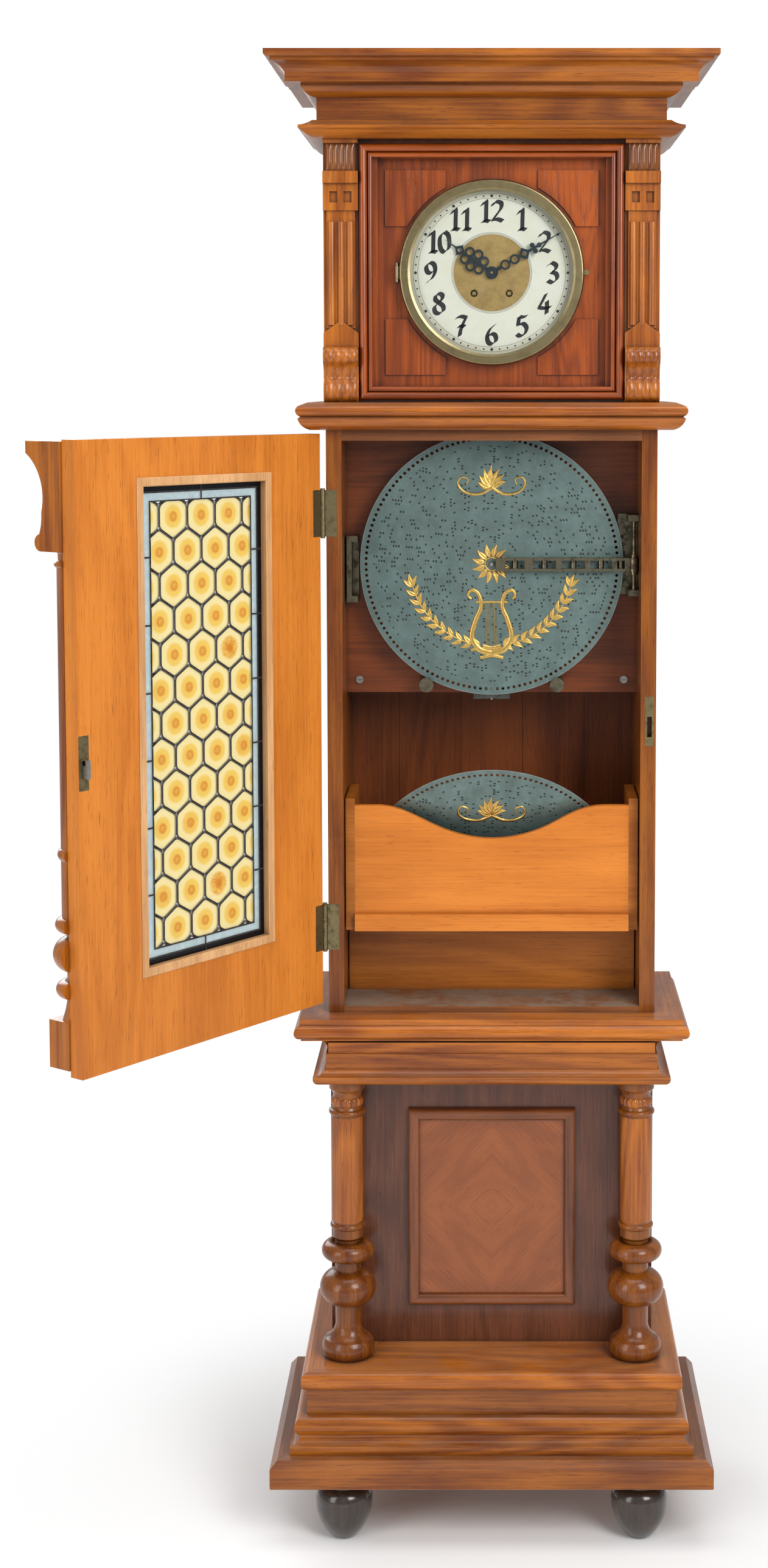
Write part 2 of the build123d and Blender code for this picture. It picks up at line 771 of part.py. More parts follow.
def dial_frame_outline():
    """From the outer edge inward: a torus, a step down and a smaller bead."""
    torus, bead = 5, 3.5
    torus_low, bead_low = dial_frame_out - torus, dial_bead_out - bead
    inner_edge = 2 * (torus + bead)
    Line((0, 0), (0, torus_low))
    ThreePointArc((0, torus_low), (torus, dial_frame_out), (2 * torus, torus_low))
    Line((2 * torus, torus_low), (2 * torus, bead_low))
    ThreePointArc((2 * torus, bead_low), (2 * torus + bead, dial_bead_out), (inner_edge, bead_low))
    Polyline((inner_edge, bead_low), (inner_edge, 0), (0, 0))


with BuildPart() as dial_frame_moulding:
    with BuildLine(facing(front, z=frame_level)) as frame_route:
        right, top = frame_half_width, frame_half_height
        Polyline((0, -top), (right, -top), (right, top), (-right, top), (-right, -top), (0, -top))
    frame_start = Plane(origin=(0, front, frame_level - top), x_dir=(0, 0, 1), z_dir=(1, 0, 0))
    with BuildSketch(frame_start) as frame_section:
        with BuildLine():
            dial_frame_outline()
        make_face()
    sweep(frame_section.sketch, path=frame_route.wire(), transition=Transition.RIGHT)
dial_frame_moulding.part.label = "dial_frame_moulding"
export_step(dial_frame_moulding.part, "parts/dial_frame_moulding.step")

# Dial board with raised spandrels and its holes
dial_board_back = dial_face + dial_board_thickness
winding_level = dial_level - winding_hole_drop
winding_places = [(side * winding_hole_out, -winding_hole_drop) for side in (-1, 1)]
with BuildPart() as dial_board:
    board_half = dial_board_width / 2
    board((-board_half, board_half), (dial_face, dial_board_back), (hood_bottom, entablature_bottom))
    with BuildSketch(facing(dial_face, z=dial_level)):
        Rectangle(spandrel_width, spandrel_height)
        Rectangle(spandrel_width, spandrel_reach, mode=Mode.SUBTRACT)
        Rectangle(spandrel_reach, spandrel_height, mode=Mode.SUBTRACT)
        Circle(spandrel_arc, mode=Mode.SUBTRACT)
    extrude(amount=spandrel_rise)
    with BuildSketch(facing(dial_board_back, z=dial_level)):
        Circle(8)
        with Locations(*winding_places):
            Circle(8)
    extrude(amount=dial_board_thickness, mode=Mode.SUBTRACT)
dial_board.part.label = "dial_board"
export_step(dial_board.part, "parts/dial_board.step")

frieze_half = half_width + entablature_side
frieze_face = front - entablature_front
with BuildPart() as architrave_moulding:
    run_moulding(frieze_half, frieze_face, entablature_bottom, architrave_outline)
architrave_moulding.part.label = "architrave_moulding"
export_step(architrave_moulding.part, "parts/architrave_moulding.step")

with BuildPart() as hood_frieze:
    board((-frieze_half, frieze_half), (frieze_face, back), (entablature_bottom, cornice_bottom))
    board((-half_width, half_width), (front, back), (entablature_bottom, cornice_bottom), Mode.SUBTRACT)
hood_frieze.part.label = "hood_frieze"
export_step(hood_frieze.part, "parts/hood_frieze.step")

with BuildPart() as crown_cornice:
    run_moulding(frieze_half, frieze_face, cornice_bottom, cornice_outline)
crown_cornice.part.label = "crown_cornice"
export_step(crown_cornice.part, "parts/crown_cornice.step")

# Dial
with BuildPart() as chapter_ring:
    with BuildSketch(facing(dial_face, z=dial_level)):
        Circle(chapter_outer)
        Circle(chapter_inner, mode=Mode.SUBTRACT)
    extrude(amount=chapter_thickness)
chapter_ring.part.label = "chapter_ring"
export_step(chapter_ring.part, "parts/chapter_ring.step")


def sight_ring_outline():
    """A ring that slopes down to the enamel."""
    depth = -sight_ring_depth
    Polyline((chapter_outer, 0), (sight_ring_outer, 0), (sight_ring_outer, depth))
    Polyline((sight_ring_outer, depth), (sight_ring_outer - 2, depth), (chapter_outer, 0.6 * depth))
    Line((chapter_outer, 0.6 * depth), (chapter_outer, 0))


def bezel_outline():
    """A tube with a rounded front and a lip that holds the glass."""
    Polyline((bezel_lip, 2), (bezel_lip, 1), (bezel_lip + 3, 0), (bezel_outer - 3, 0))
    ThreePointArc((bezel_outer - 3, 0), (bezel_outer - 0.9, 0.9), (bezel_outer, 3))
    Polyline((bezel_outer, 3), (bezel_outer, bezel_depth), (bezel_inner, bezel_depth))
    Polyline((bezel_inner, bezel_depth), (bezel_inner, 2), (bezel_lip, 2))


def dial_turning(y):
    """A level plane through the dial centre, with local x to the right and local y backward."""
    return Plane(origin=(0, y, dial_level), x_dir=(1, 0, 0), z_dir=(0, 0, 1))


with BuildPart() as dial_brasswork:
    with BuildSketch(facing(dial_face, z=dial_level)):
        Circle(chapter_inner)
        Circle(5.5, mode=Mode.SUBTRACT)
        with Locations(*winding_places):
            Circle(winding_hole_radius, mode=Mode.SUBTRACT)
    extrude(amount=chapter_thickness - 1)
    turn(dial_turning(dial_face), sight_ring_outline)
dial_brasswork.part.label = "dial_brasswork"
export_step(dial_brasswork.part, "parts/dial_brasswork.step")

# Bezel with its hinge barrel and thumb piece, and its glass
bezel_face = front - bezel_front
bezel_pin_y = front + bezel_pin_depth
with BuildPart() as bezel:
    turn(dial_turning(bezel_face), bezel_outline)
    barrel_low = dial_level - 7.9
    arm_span = (-bezel_pin_out, -bezel_outer + 2)
    board(arm_span, (bezel_pin_y - 1.5, bezel_pin_y + 1.5), (barrel_low, barrel_low + 15.8))
    rod(upward(-bezel_pin_out, bezel_pin_y, barrel_low), 2.5, 15.8)
    rod(upward(-bezel_pin_out, bezel_pin_y, barrel_low), 1 + running_fit, 15.8, Mode.SUBTRACT)
    thumb_span = (bezel_outer - 1, bezel_outer + 6)
    board(thumb_span, (bezel_face + 4, bezel_face + 8), (dial_level - 3, dial_level + 3))
bezel.part.label = "bezel"
export_step(bezel.part, "parts/bezel.step")

with BuildPart() as bezel_glass:
    glass_back = bezel_face + 2 + bezel_glass_thickness
    rod(facing(glass_back, z=dial_level), bezel_inner - 0.1, bezel_glass_thickness)
bezel_glass.part.label = "bezel_glass"
export_step(bezel_glass.part, "parts/bezel_glass.step")

# Clock movement
plate_face = front + movement_depth
plate_back = plate_face + movement_plate + movement_space
plates_level = dial_level - movement_drop
pendulum_level = dial_level + pendulum_rise
post_x = movement_size / 2 - pillar_inset
with BuildPart() as movement_frame:
    for y in (plate_face + movement_plate, plate_back + movement_plate):
        with BuildSketch(facing(y, z=plates_level)):
            RectangleRounded(movement_size, movement_size, 6)
            for x in (-winding_hole_out, winding_hole_out):
                with Locations((x, winding_level - plates_level)):
                    Circle(arbor_radius + running_fit, mode=Mode.SUBTRACT)
        extrude(amount=movement_plate)
    for x in (-post_x, post_x):
        for z in (plates_level - post_x, plates_level + post_x):
            rod(facing(plate_back, x, z), pillar_radius, movement_space)
            rod(facing(plate_face, x, z), pillar_radius, plate_face - dial_board_back)
    rod(facing(plate_face, z=dial_level), centre_stud, plate_face - front - 6)
    rod(facing(plate_face, z=dial_level - motion_centres), centre_stud, plate_face - dial_board_back - 1)
    rod(facing(plate_back + 14, z=pendulum_level), centre_stud, 14 - movement_plate)
    rod(facing(plate_back + 14, z=pendulum_level), 3.2, 2)
movement_frame.part.label = "movement_frame"
export_step(movement_frame.part, "parts/movement_frame.step")

for barrel_name, barrel_side in (("time_barrel", -1), ("strike_barrel", 1)):
    with BuildPart() as barrel:
        barrel_x = barrel_side * winding_hole_out
        barrel_start = plate_face + movement_plate + 9
        arbor_length = plate_back + movement_plate - dial_board_back
        rod(facing(barrel_start + barrel_length, barrel_x, winding_level), barrel_radius, barrel_length)
        rod(facing(barrel_start + 3, barrel_x, winding_level), barrel_radius + 1, 3)
        rod(facing(plate_back + movement_plate, barrel_x, winding_level), arbor_radius, arbor_length)
        with BuildSketch(facing(dial_board_back, barrel_x, winding_level)):
            Rectangle(winding_square, winding_square)
        extrude(amount=dial_board_thickness + chapter_thickness - 2)
    barrel.part.label = barrel_name
    export_step(barrel.part, "parts/" + barrel_name + ".step")

# Hands and motion work: cannon pinion, motion wheel with its pinion, and hour wheel
hour_module = 2 * motion_centres / (motion_pinion_teeth + hour_wheel_teeth)
cannon_module = 2 * motion_centres / (cannon_teeth + motion_teeth)
hour_bore = cannon_radius + running_fit
minute_rings = ((20, 0), (34, 0))
hour_rings = ((16, 6), (16, -6), (27, 9), (27, -9), (38, 5.5), (38, -5.5))


def hand_plane(y, angle):
    """A plane at depth y whose local x runs along a hand, clockwise from twelve."""
    direction = (sin(radians(angle)), 0, cos(radians(angle)))
    return Plane(origin=(0, y, dial_level), x_dir=direction, z_dir=(0, -1, 0))


def blade(length, widest, shoulder):
    """Draw a hand's tapered blade."""
    side = 0.7 * widest
    with BuildSketch() as outline:
        with BuildLine():
            Polyline((0, -widest), (shoulder, -side), (length, 0), (shoulder, side), (0, widest))
            Line((0, widest), (0, -widest))
        make_face()
    add(outline.sketch)


with BuildPart() as minute_hand:
    hand_y = front + minute_hand_depth
    with BuildSketch(hand_plane(hand_y, minute_angle)):
        Circle(7)
        blade(minute_hand_length, 2.4, 62)
        with Locations(*minute_rings):
            Circle(6.5)
        with Locations((48, 0)):
            RegularPolygon(8.5, 4)
        with Locations((62, 4.2), (62, -4.2), (70, 0)):
            Circle(3.2)
        with Locations(*minute_rings):
            Circle(4, mode=Mode.SUBTRACT)
        with Locations((48, 0)):
            Circle(3, mode=Mode.SUBTRACT)
    extrude(amount=hand_thickness)
    pipe_end = front + motion_depth
    rod(facing(pipe_end, z=dial_level), cannon_radius, pipe_end - hand_y)
    with BuildSketch(facing(pipe_end, z=dial_level)):
        gear(cannon_teeth, cannon_module, -90)
    extrude(amount=wheel_thickness)
    rod(facing(pipe_end, z=dial_level), centre_stud + running_fit, pipe_end - front, Mode.SUBTRACT)
minute_hand.part.label = "minute_hand"
export_step(minute_hand.part, "parts/minute_hand.step")

with BuildPart() as hour_hand:
    hand_y = front + hour_hand_depth
    with BuildSketch(hand_plane(hand_y, hour_angle)):
        Circle(8)
        blade(hour_hand_length, 2.6, 46)
        with Locations(*hour_rings):
            Circle(6.5)
        with Locations((50, 0)):
            RegularPolygon(7.5, 4)
        with Locations(*hour_rings):
            Circle(3.8, mode=Mode.SUBTRACT)
        with Locations((50, 0)):
            Circle(2.6, mode=Mode.SUBTRACT)
    extrude(amount=hand_thickness)
    pipe_end = front + hour_wheel_depth
    rod(facing(pipe_end, z=dial_level), hour_bore + hour_pipe_wall, pipe_end - hand_y)
    with BuildSketch(facing(pipe_end, z=dial_level)):
        gear(hour_wheel_teeth, hour_module, -90)
    extrude(amount=wheel_thickness)
    rod(facing(pipe_end, z=dial_level), hour_bore, pipe_end - front, Mode.SUBTRACT)
hour_hand.part.label = "hour_hand"
export_step(hour_hand.part, "parts/hour_hand.step")

with BuildPart() as motion_wheel:
    motion_level = dial_level - motion_centres
    with BuildSketch(facing(front + motion_depth, z=motion_level)):
        gear(motion_teeth, cannon_module, 90 + 180 / motion_teeth)
    extrude(amount=wheel_thickness)
    with BuildSketch(facing(front + motion_depth - wheel_thickness, z=motion_level)):
        gear(motion_pinion_teeth, hour_module, 90 + 180 / motion_pinion_teeth)
    extrude(amount=motion_depth - hour_wheel_depth)
    rod(facing(front + motion_depth, z=motion_level), centre_stud + running_fit, motion_depth, Mode.SUBTRACT)
motion_wheel.part.label = "motion_wheel"
export_step(motion_wheel.part, "parts/motion_wheel.step")

with BuildPart() as pendulum:
    swing_y = plate_back + 8
    bob_level = pendulum_level - pendulum_length
    rod(facing(swing_y + 3, z=pendulum_level), 5, 6)
    rod(upward(0, swing_y, bob_level), 1.5, pendulum_length - 3)
    rod(facing(swing_y + bob_thickness / 2, z=bob_level), bob_radius, bob_thickness)
    round_edges = pendulum.edges().filter_by(GeomType.CIRCLE)
    chamfer(round_edges.filter_by(lambda edge: edge.radius > bob_radius - 1), length=3)
    rod(upward(0, swing_y, bob_level - bob_radius - 6), 2.5, 12)
    rod(facing(swing_y + 3, z=pendulum_level), centre_stud + running_fit, 6, Mode.SUBTRACT)
pendulum.part.label = "pendulum"
export_step(pendulum.part, "parts/pendulum.step")

with BuildPart() as gong_rods:
    gong_top = entablature_bottom - 20
    gong_low = gong_top - 24
    board((gong_place - 22, gong_place + 22), (plank_face - 30, plank_face), (gong_low, gong_top))
    for across in (-12, 0, 12):
        rod_foot = upward(gong_place + across, plank_face - 18, gong_low - gong_rod_length)
        rod(rod_foot, gong_rod_radius, gong_rod_length)
gong_rods.part.label = "gong_rods"
export_step(gong_rods.part, "parts/gong_rods.step")

# Musical box
music_face = front + music_board_depth
music_back = music_face + music_board_thickness
music_top = hood_bottom - shelf_board
music_bottom = music_top - music_board_height
sprocket_level = disc_level - drive_hole_circle
pitch_radius = drive_hole_circle * sprocket_pins / drive_hole_count
sprocket_y = front + disc_depth + disc_thickness / 2 + pitch_radius
window_half = 18.0
window_rise = (sprocket_level - 5.5, sprocket_level + 5.5)
with BuildPart() as music_board:
    board((-inner_half, inner_half), (music_face, music_back), (music_bottom, music_top))
    board((-window_half, window_half), (music_face, music_face + 5), window_rise, Mode.SUBTRACT)
music_board.part.label = "music_board"
export_step(music_board.part, "parts/music_board.step")

with BuildPart() as board_screws:
    for x in (-inner_half + 17, inner_half - 17):
        for z in (music_bottom + 17, music_top - 19):
            rod(facing(music_face, x, z), screw_radius, 2.5)
            slot = (x - screw_radius, x + screw_radius)
            board(slot, (music_face - 2.5, music_face - 1.5), (z - 0.6, z + 0.6), Mode.SUBTRACT)
board_screws.part.label = "board_screws"
export_step(board_screws.part, "parts/board_screws.step")

bedplate_face = music_face - bedplate_thickness
star_y = front + star_depth
star_posts = (star_first - 7, star_first + (star_count - 1) * star_pitch + 7)
sprocket_bracket = sprocket_level - 16
with BuildPart() as bedplate:
    rod(facing(music_face, z=disc_level), bedplate_radius, bedplate_thickness)
    board((-24, 24), (bedplate_face, music_face), (sprocket_bracket, disc_level - bedplate_radius + 12))
    board((-window_half, window_half), (bedplate_face, music_face), window_rise, Mode.SUBTRACT)
    for z in (sprocket_level - 10, sprocket_level + 10):
        board((-8, 8), (sprocket_y - 7, bedplate_face), (z - 3, z + 3))
    rod(upward(0, sprocket_y, sprocket_bracket), sprocket_arbor + running_fit, 32, Mode.SUBTRACT)
    rod(facing(music_face, z=disc_level), spindle_radius, bedplate_thickness, Mode.SUBTRACT)
    for x in star_posts:
        board((x - 2, x + 2), (star_y - 4, bedplate_face), (disc_level - 6, disc_level + 6))
    star_bore = Plane(origin=(star_posts[0] - 3, star_y, disc_level), x_dir=(0, 1, 0), z_dir=(1, 0, 0))
    rod(star_bore, star_shaft + running_fit, star_posts[1] - star_posts[0] + 6, Mode.SUBTRACT)
bedplate.part.label = "bedplate"
export_step(bedplate.part, "parts/bedplate.step")

with BuildPart() as steel_combs:
    comb_middle = star_first + (star_count - 1) * star_pitch / 2
    comb_half = comb_teeth * comb_pitch / 2
    for up in (-1, 1):
        tip = disc_level + up * (star_radius + comb_gap)
        root = tip + up * comb_tooth_length
        end = root + up * comb_base_height
        base_rise = sorted((root, end))
        board((comb_middle - comb_half, comb_middle + comb_half), (star_y + 1, bedplate_face), base_rise)
        for tooth in range(comb_teeth):
            x = comb_middle - comb_half + (tooth + 0.5) * comb_pitch
            board((x - 0.8, x + 0.8), (star_y + 1, star_y + 2.2), sorted((tip, root)))
steel_combs.part.label = "steel_combs"
export_step(steel_combs.part, "parts/steel_combs.step")

with BuildPart() as star_wheels:
    shaft_length = star_posts[1] - star_posts[0] + 8
    shaft_start = Plane(origin=(star_posts[0] - 4, star_y, disc_level), x_dir=(0, 1, 0), z_dir=(1, 0, 0))
    rod(shaft_start, star_shaft, shaft_length)
    for place in range(star_count):
        wheel_x = star_first + place * star_pitch
        with BuildSketch(Plane(origin=(wheel_x - 0.6, star_y, disc_level), x_dir=(0, 1, 0), z_dir=(1, 0, 0))):
            Circle(0.55 * star_radius)
            with PolarLocations(0.7 * star_radius, star_points, start_angle=20 * place):
                Rectangle(0.6 * star_radius, 2)
        extrude(amount=1.2)
star_wheels.part.label = "star_wheels"
export_step(star_wheels.part, "parts/star_wheels.step")

disc_y = front + disc_depth
with BuildPart() as disc_spindle:
    rod(facing(music_face, z=disc_level), spindle_radius, music_face - disc_y + 5)
    chamfer(disc_spindle.edges().sort_by(Axis.Y)[0], length=1)
    rod(facing(bedplate_face, z=disc_level), spindle_shoulder, bedplate_face - disc_y - disc_thickness - 0.2)
disc_spindle.part.label = "disc_spindle"
export_step(disc_spindle.part, "parts/disc_spindle.step")

with BuildPart() as drive_sprocket:
    wheel_radius = pitch_radius - disc_thickness / 2 - sprocket_wheel_gap
    rod(upward(0, sprocket_y, sprocket_bracket), sprocket_arbor, 31)
    rod(upward(0, sprocket_y, sprocket_level - 3), wheel_radius, 6)
    for pin in range(sprocket_pins):
        pin_angle = radians(-90 + pin * 360 / sprocket_pins)
        pin_plane = Plane(origin=(0, sprocket_y, sprocket_level), z_dir=(cos(pin_angle), sin(pin_angle), 0))
        rod(pin_plane, sprocket_pin_radius, pitch_radius + sprocket_pin_reach)
drive_sprocket.part.label = "drive_sprocket"
export_step(drive_sprocket.part, "parts/drive_sprocket.step")

# Pressure bar and its bracket
bar_x = inner_half - bar_rod_inset
bar_y = front + bar_depth + 2
bar_low = disc_level - bar_height / 2
bracket_low = disc_level + bracket_rise - bracket_height / 2
bracket_high = bracket_low + bracket_height
with BuildPart() as bar_hinge_bracket:
    board((inner_half - 26.5, inner_half - 0.5), (bedplate_face, music_face), (bracket_low, bracket_high))
    for low in (bracket_low, bracket_high - bracket_arm):
        board((inner_half - 14.5, inner_half - 0.5), (bar_y - 5, bedplate_face), (low, low + bracket_arm))
    rod(upward(bar_x, bar_y, bracket_low), bar_rod_radius, bracket_height)
    for low in (bar_low - 4.3, bar_low + bar_height + 0.3):
        rod(upward(bar_x, bar_y, low), bar_rod_radius + 2, 4)
bar_hinge_bracket.part.label = "bar_hinge_bracket"
export_step(bar_hinge_bracket.part, "parts/bar_hinge_bracket.step")

bar_windows = ((30.5, 25), (69, 30), (107, 30), (143, 28), (169, 10))
with BuildPart() as pressure_bar:
    bar_back = front + bar_depth + bar_thickness
    bar_tip = spindle_radius + 2
    bar_end = bar_x - bar_eye_radius / 2
    with BuildSketch(facing(bar_back, z=disc_level)):
        with Locations(((bar_tip + bar_end) / 2, 0)):
            Rectangle(bar_end - bar_tip, bar_height)
        for place, width in bar_windows:
            with Locations((place, 0)):
                Rectangle(width, bar_height - 7, mode=Mode.SUBTRACT)
    extrude(amount=bar_thickness)
    for place, width in bar_windows:
        rod(upward(place, bar_back - bar_roller_radius + 0.8, disc_level - 6), bar_roller_radius, 12)
    rod(upward(bar_x, bar_y, bar_low), bar_eye_radius, bar_height)
    rod(upward(bar_x, bar_y, bar_low), bar_rod_radius + running_fit, bar_height, Mode.SUBTRACT)
pressure_bar.part.label = "pressure_bar"
export_step(pressure_bar.part, "parts/pressure_bar.step")

# Guides: a rest beside the disc and two grooved studs below it
rest_low = disc_level - 50
rest_high = disc_level + 37
stud_distance = disc_radius + guide_gap + guide_radius
stud_level = disc_level - sqrt(stud_distance**2 - guide_out**2)
with BuildPart() as disc_guides:
    rest_wide = (-inner_half + 2.5, -inner_half + 17)
    rest_slim = (-inner_half + 2.5, -inner_half + 9)
    board(rest_wide, (music_face - 8, music_face), (rest_low, rest_high))
    board(rest_slim, (disc_y - 4, music_face), (rest_low, rest_high))
    for low in (rest_low, rest_high - 8):
        board(rest_wide, (disc_y - 4, music_face), (low, low + 8))
    for x in (-guide_out, guide_out):
        rod(facing(music_face, x, stud_level), guide_flange, music_face - disc_y - 2.5)
        rod(facing(disc_y + 2.5, x, stud_level), guide_radius, 5)
        rod(facing(disc_y - 1.5, x, stud_level), guide_flange, 4)
disc_guides.part.label = "disc_guides"
export_step(disc_guides.part, "parts/disc_guides.step")

with BuildPart() as spring_motor:
    motor_level = sprocket_level + motor_rise
    rod(facing(music_back + motor_depth, z=motor_level), motor_radius, motor_depth)
    rod(facing(music_back + 4, z=motor_level), motor_radius + 5, 4)
    rod(facing(music_back + motor_depth + 8, z=motor_level), 5, 10)
spring_motor.part.label = "spring_motor"
export_step(spring_motor.part, "parts/spring_motor.step")


def draw_disc():
    """Draw a disc with its centre hole and its ring of drive holes, one of them straight down."""
    Circle(disc_radius)
    Circle(spindle_radius + running_fit, mode=Mode.SUBTRACT)
    with PolarLocations(drive_hole_circle, drive_hole_count, start_angle=-90):
        Circle(drive_hole_radius, mode=Mode.SUBTRACT)


with BuildPart() as music_disc:
    with BuildSketch(facing(disc_y + disc_thickness, z=disc_level)):
        draw_disc()
    extrude(amount=disc_thickness)
music_disc.part.label = "music_disc"
export_step(music_disc.part, "parts/music_disc.step")

# A spare disc that stands on the trunk floor and leans forward in the rack
lean = radians(spare_disc_lean)
spare_level = floor_top + seat_gap + disc_radius * cos(lean) + disc_thickness / 2 * sin(lean)
spare_y = front + spare_disc_top_depth + disc_radius * sin(lean)
spare_plane = Plane(origin=(0, spare_y, spare_level), x_dir=(1, 0, 0), z_dir=(0, -cos(lean), -sin(lean)))
with BuildPart() as spare_disc:
    with BuildSketch(spare_plane):
        draw_disc()
    extrude(amount=disc_thickness / 2, both=True)
spare_disc.part.label = "spare_disc"
export_step(spare_disc.part, "parts/spare_disc.step")

# Disc rack
rack_low = floor_top + rack_bottom
rack_high = rack_low + rack_height
rack_half = inner_half - 1.5 - rack_end
rack_face = front + rack_depth


def rack_front_outline():
    """A board with a long soft dip in its top edge."""
    wing = rack_dip_width / 2 + 20
    slope = rack_dip_width / 3.6
    Polyline((-wing, rack_high), (-rack_half, rack_high), (-rack_half, rack_low), (rack_half, rack_low))
    Polyline((rack_half, rack_low), (rack_half, rack_high), (wing, rack_high))
    Spline(
        (wing, rack_high),
        (slope, rack_high - 0.62 * rack_dip),
        (0, rack_high - rack_dip),
        (-slope, rack_high - 0.62 * rack_dip),
        (-wing, rack_high),
        tangents=((-1, 0), (-1, 0)),
    )


with BuildPart() as rack_front_board:
    with BuildSketch(facing(rack_face + rack_board)):
        with BuildLine():
            rack_front_outline()
        make_face()
    extrude(amount=rack_board)
    lip_rise = (rack_low, rack_low + rack_lip_height)
    board((-rack_half, rack_half), (rack_face - rack_lip_out, rack_face), lip_rise)
rack_front_board.part.label = "rack_front_board"
export_step(rack_front_board.part, "parts/rack_front_board.step")

with BuildPart() as rack_frame:
    panel_front = front + rack_panel_depth
    panel_back = panel_front + rack_board
    outer_half = rack_half + rack_end
    end_depth = (rack_face, rack_face + rack_end_depth)
    for side in (-1, 1):
        x_span = sorted((side * rack_half, side * outer_half))
        board(x_span, end_depth, (rack_low, rack_low + rack_end_height))
    board((-rack_half, rack_half), (rack_face + rack_board, panel_back), (rack_low, rack_low + rack_end))
    board((-outer_half, outer_half), (panel_front, panel_back), (floor_top, rack_low))
rack_frame.part.label = "rack_frame"
export_step(rack_frame.part, "parts/rack_frame.step")

# Case-side hinge leaves with their pins, the strike plate and the bezel's hinge lugs
third = leaf_height / 6
with BuildPart() as case_door_fittings:
    for level in hinge_levels:
        low = level - leaf_height / 2
        board((pin_x, pin_x + leaf_reach), let_in, (low, low + leaf_height))
        gap_low = upward(pin_x, pin_y, level - third - 0.1)
        rod(gap_low, knuckle_radius + 0.3, 2 * third + 0.2, Mode.SUBTRACT)
        for start in (low, level + third + 0.1):
            rod(upward(pin_x, pin_y, start), knuckle_radius, 2 * third - 0.1)
        rod(upward(pin_x, pin_y, low - 2), pin_radius, leaf_height + 4)
        for start in (low - 2, low + leaf_height):
            rod(upward(pin_x, pin_y, start), knuckle_radius - 0.5, 2)
    board(strike_span, let_in, strike_rise)
    board((bolt_x - 3, bolt_x + 3), let_in, slot_rise, Mode.SUBTRACT)
    for low in (dial_level - 12.2, dial_level + 8.2):
        rod(upward(-bezel_pin_out, bezel_pin_y, low), 2.3, 4)
        board((-bezel_pin_out - 2.3, -bezel_pin_out + 2.3), (bezel_pin_y, dial_face), (low, low + 4))
    rod(upward(-bezel_pin_out, bezel_pin_y, dial_level - 12.2), 1, 24.4)
case_door_fittings.part.label = "case_door_fittings"
export_step(case_door_fittings.part, "parts/case_door_fittings.step")

# Door frame, with its glass rebate and its places for hinges and lock
door_start = pin_offset
door_end = pin_offset + case_width
opening_u = (door_start + hinge_stile, door_end - lock_stile)
opening_z = (door_bottom + bottom_rail, door_top - top_rail)
opening_middle = (sum(opening_u) / 2, sum(opening_z) / 2)
rebate_depth = bead_depth + glass_panel_thickness
rebate_u = (opening_u[0] - rebate_width, opening_u[1] + rebate_width)
rebate_z = (opening_z[0] - rebate_width, opening_z[1] + rebate_width)
lock_edge = door_end - 0.5
lock_case_u = (lock_edge - lock_case_width, lock_edge)
lock_plate_u = (lock_edge - lock_plate_width, lock_edge)
lock_plate_w = (door_inner, door_inner + leaf_thickness)
lock_case_w = (lock_plate_w[1], lock_plate_w[1] + lock_case_depth)
lock_case_z = (strike_rise[0] + 5, strike_rise[1] - 5)
column_places = (door_start + half_column_inset, door_end - half_column_inset)
key_place = column_places[1]
with BuildPart() as door_frame:
    door_board((door_start, door_end), (door_inner, door_outer), (door_bottom, door_top))
    door_board(opening_u, (door_inner, door_outer), opening_z, Mode.SUBTRACT)
    door_board(rebate_u, (door_inner, door_inner + rebate_depth), rebate_z, Mode.SUBTRACT)
    for level in hinge_levels:
        recess_half = leaf_height / 2 + leaf_clearance
        recess_u = (door_start, leaf_reach + leaf_clearance)
        door_board(recess_u, lock_plate_w, (level - recess_half, level + recess_half), Mode.SUBTRACT)
    door_board(lock_plate_u, lock_plate_w, strike_rise, Mode.SUBTRACT)
    door_board(lock_case_u, lock_case_w, lock_case_z, Mode.SUBTRACT)
    rod(door_face(lock_case_w[1], key_place, lock_level), key_radius, door_thickness, Mode.SUBTRACT)
door_frame.part.label = "door_frame"
export_step(door_frame.part, "parts/door_frame.step")

with BuildPart() as door_bead:
    bead_w = (door_inner - bead_proud, door_inner + bead_depth)
    door_board(rebate_u, bead_w, rebate_z)
    door_board(opening_u, bead_w, opening_z, Mode.SUBTRACT)
    bead_front = door_bead.faces().sort_by(Axis(door_point(0, 0, 0), outward))[0]
    chamfer(bead_front.edges(), length=1.2)
door_bead.part.label = "door_bead"
export_step(door_bead.part, "parts/door_bead.step")

# Leaded glass: a honeycomb of roundels inside a pale strip and an outer strip
row_pitch = roundel_pitch * sqrt(3) / 2
glass_width = rebate_u[1] - rebate_u[0] - 2 * glass_panel_gap
glass_height = rebate_z[1] - rebate_z[0] - 2 * glass_panel_gap
with BuildSketch() as roundel:
    RegularPolygon((roundel_pitch - came) / sqrt(3), 6, rotation=30)
    fillet(roundel.vertices(), radius=roundel_corner)

with BuildSketch() as honeycomb:
    for row in range(-1, roundel_rows + 1):
        row_level = (row - (roundel_rows - 1) / 2) * row_pitch
        row_count = 5 - row % 2
        for column in range(row_count):
            with Locations(((column - (row_count - 1) / 2) * roundel_pitch, row_level)):
                add(roundel.sketch)
    Rectangle(field_width, field_height, mode=Mode.INTERSECT)

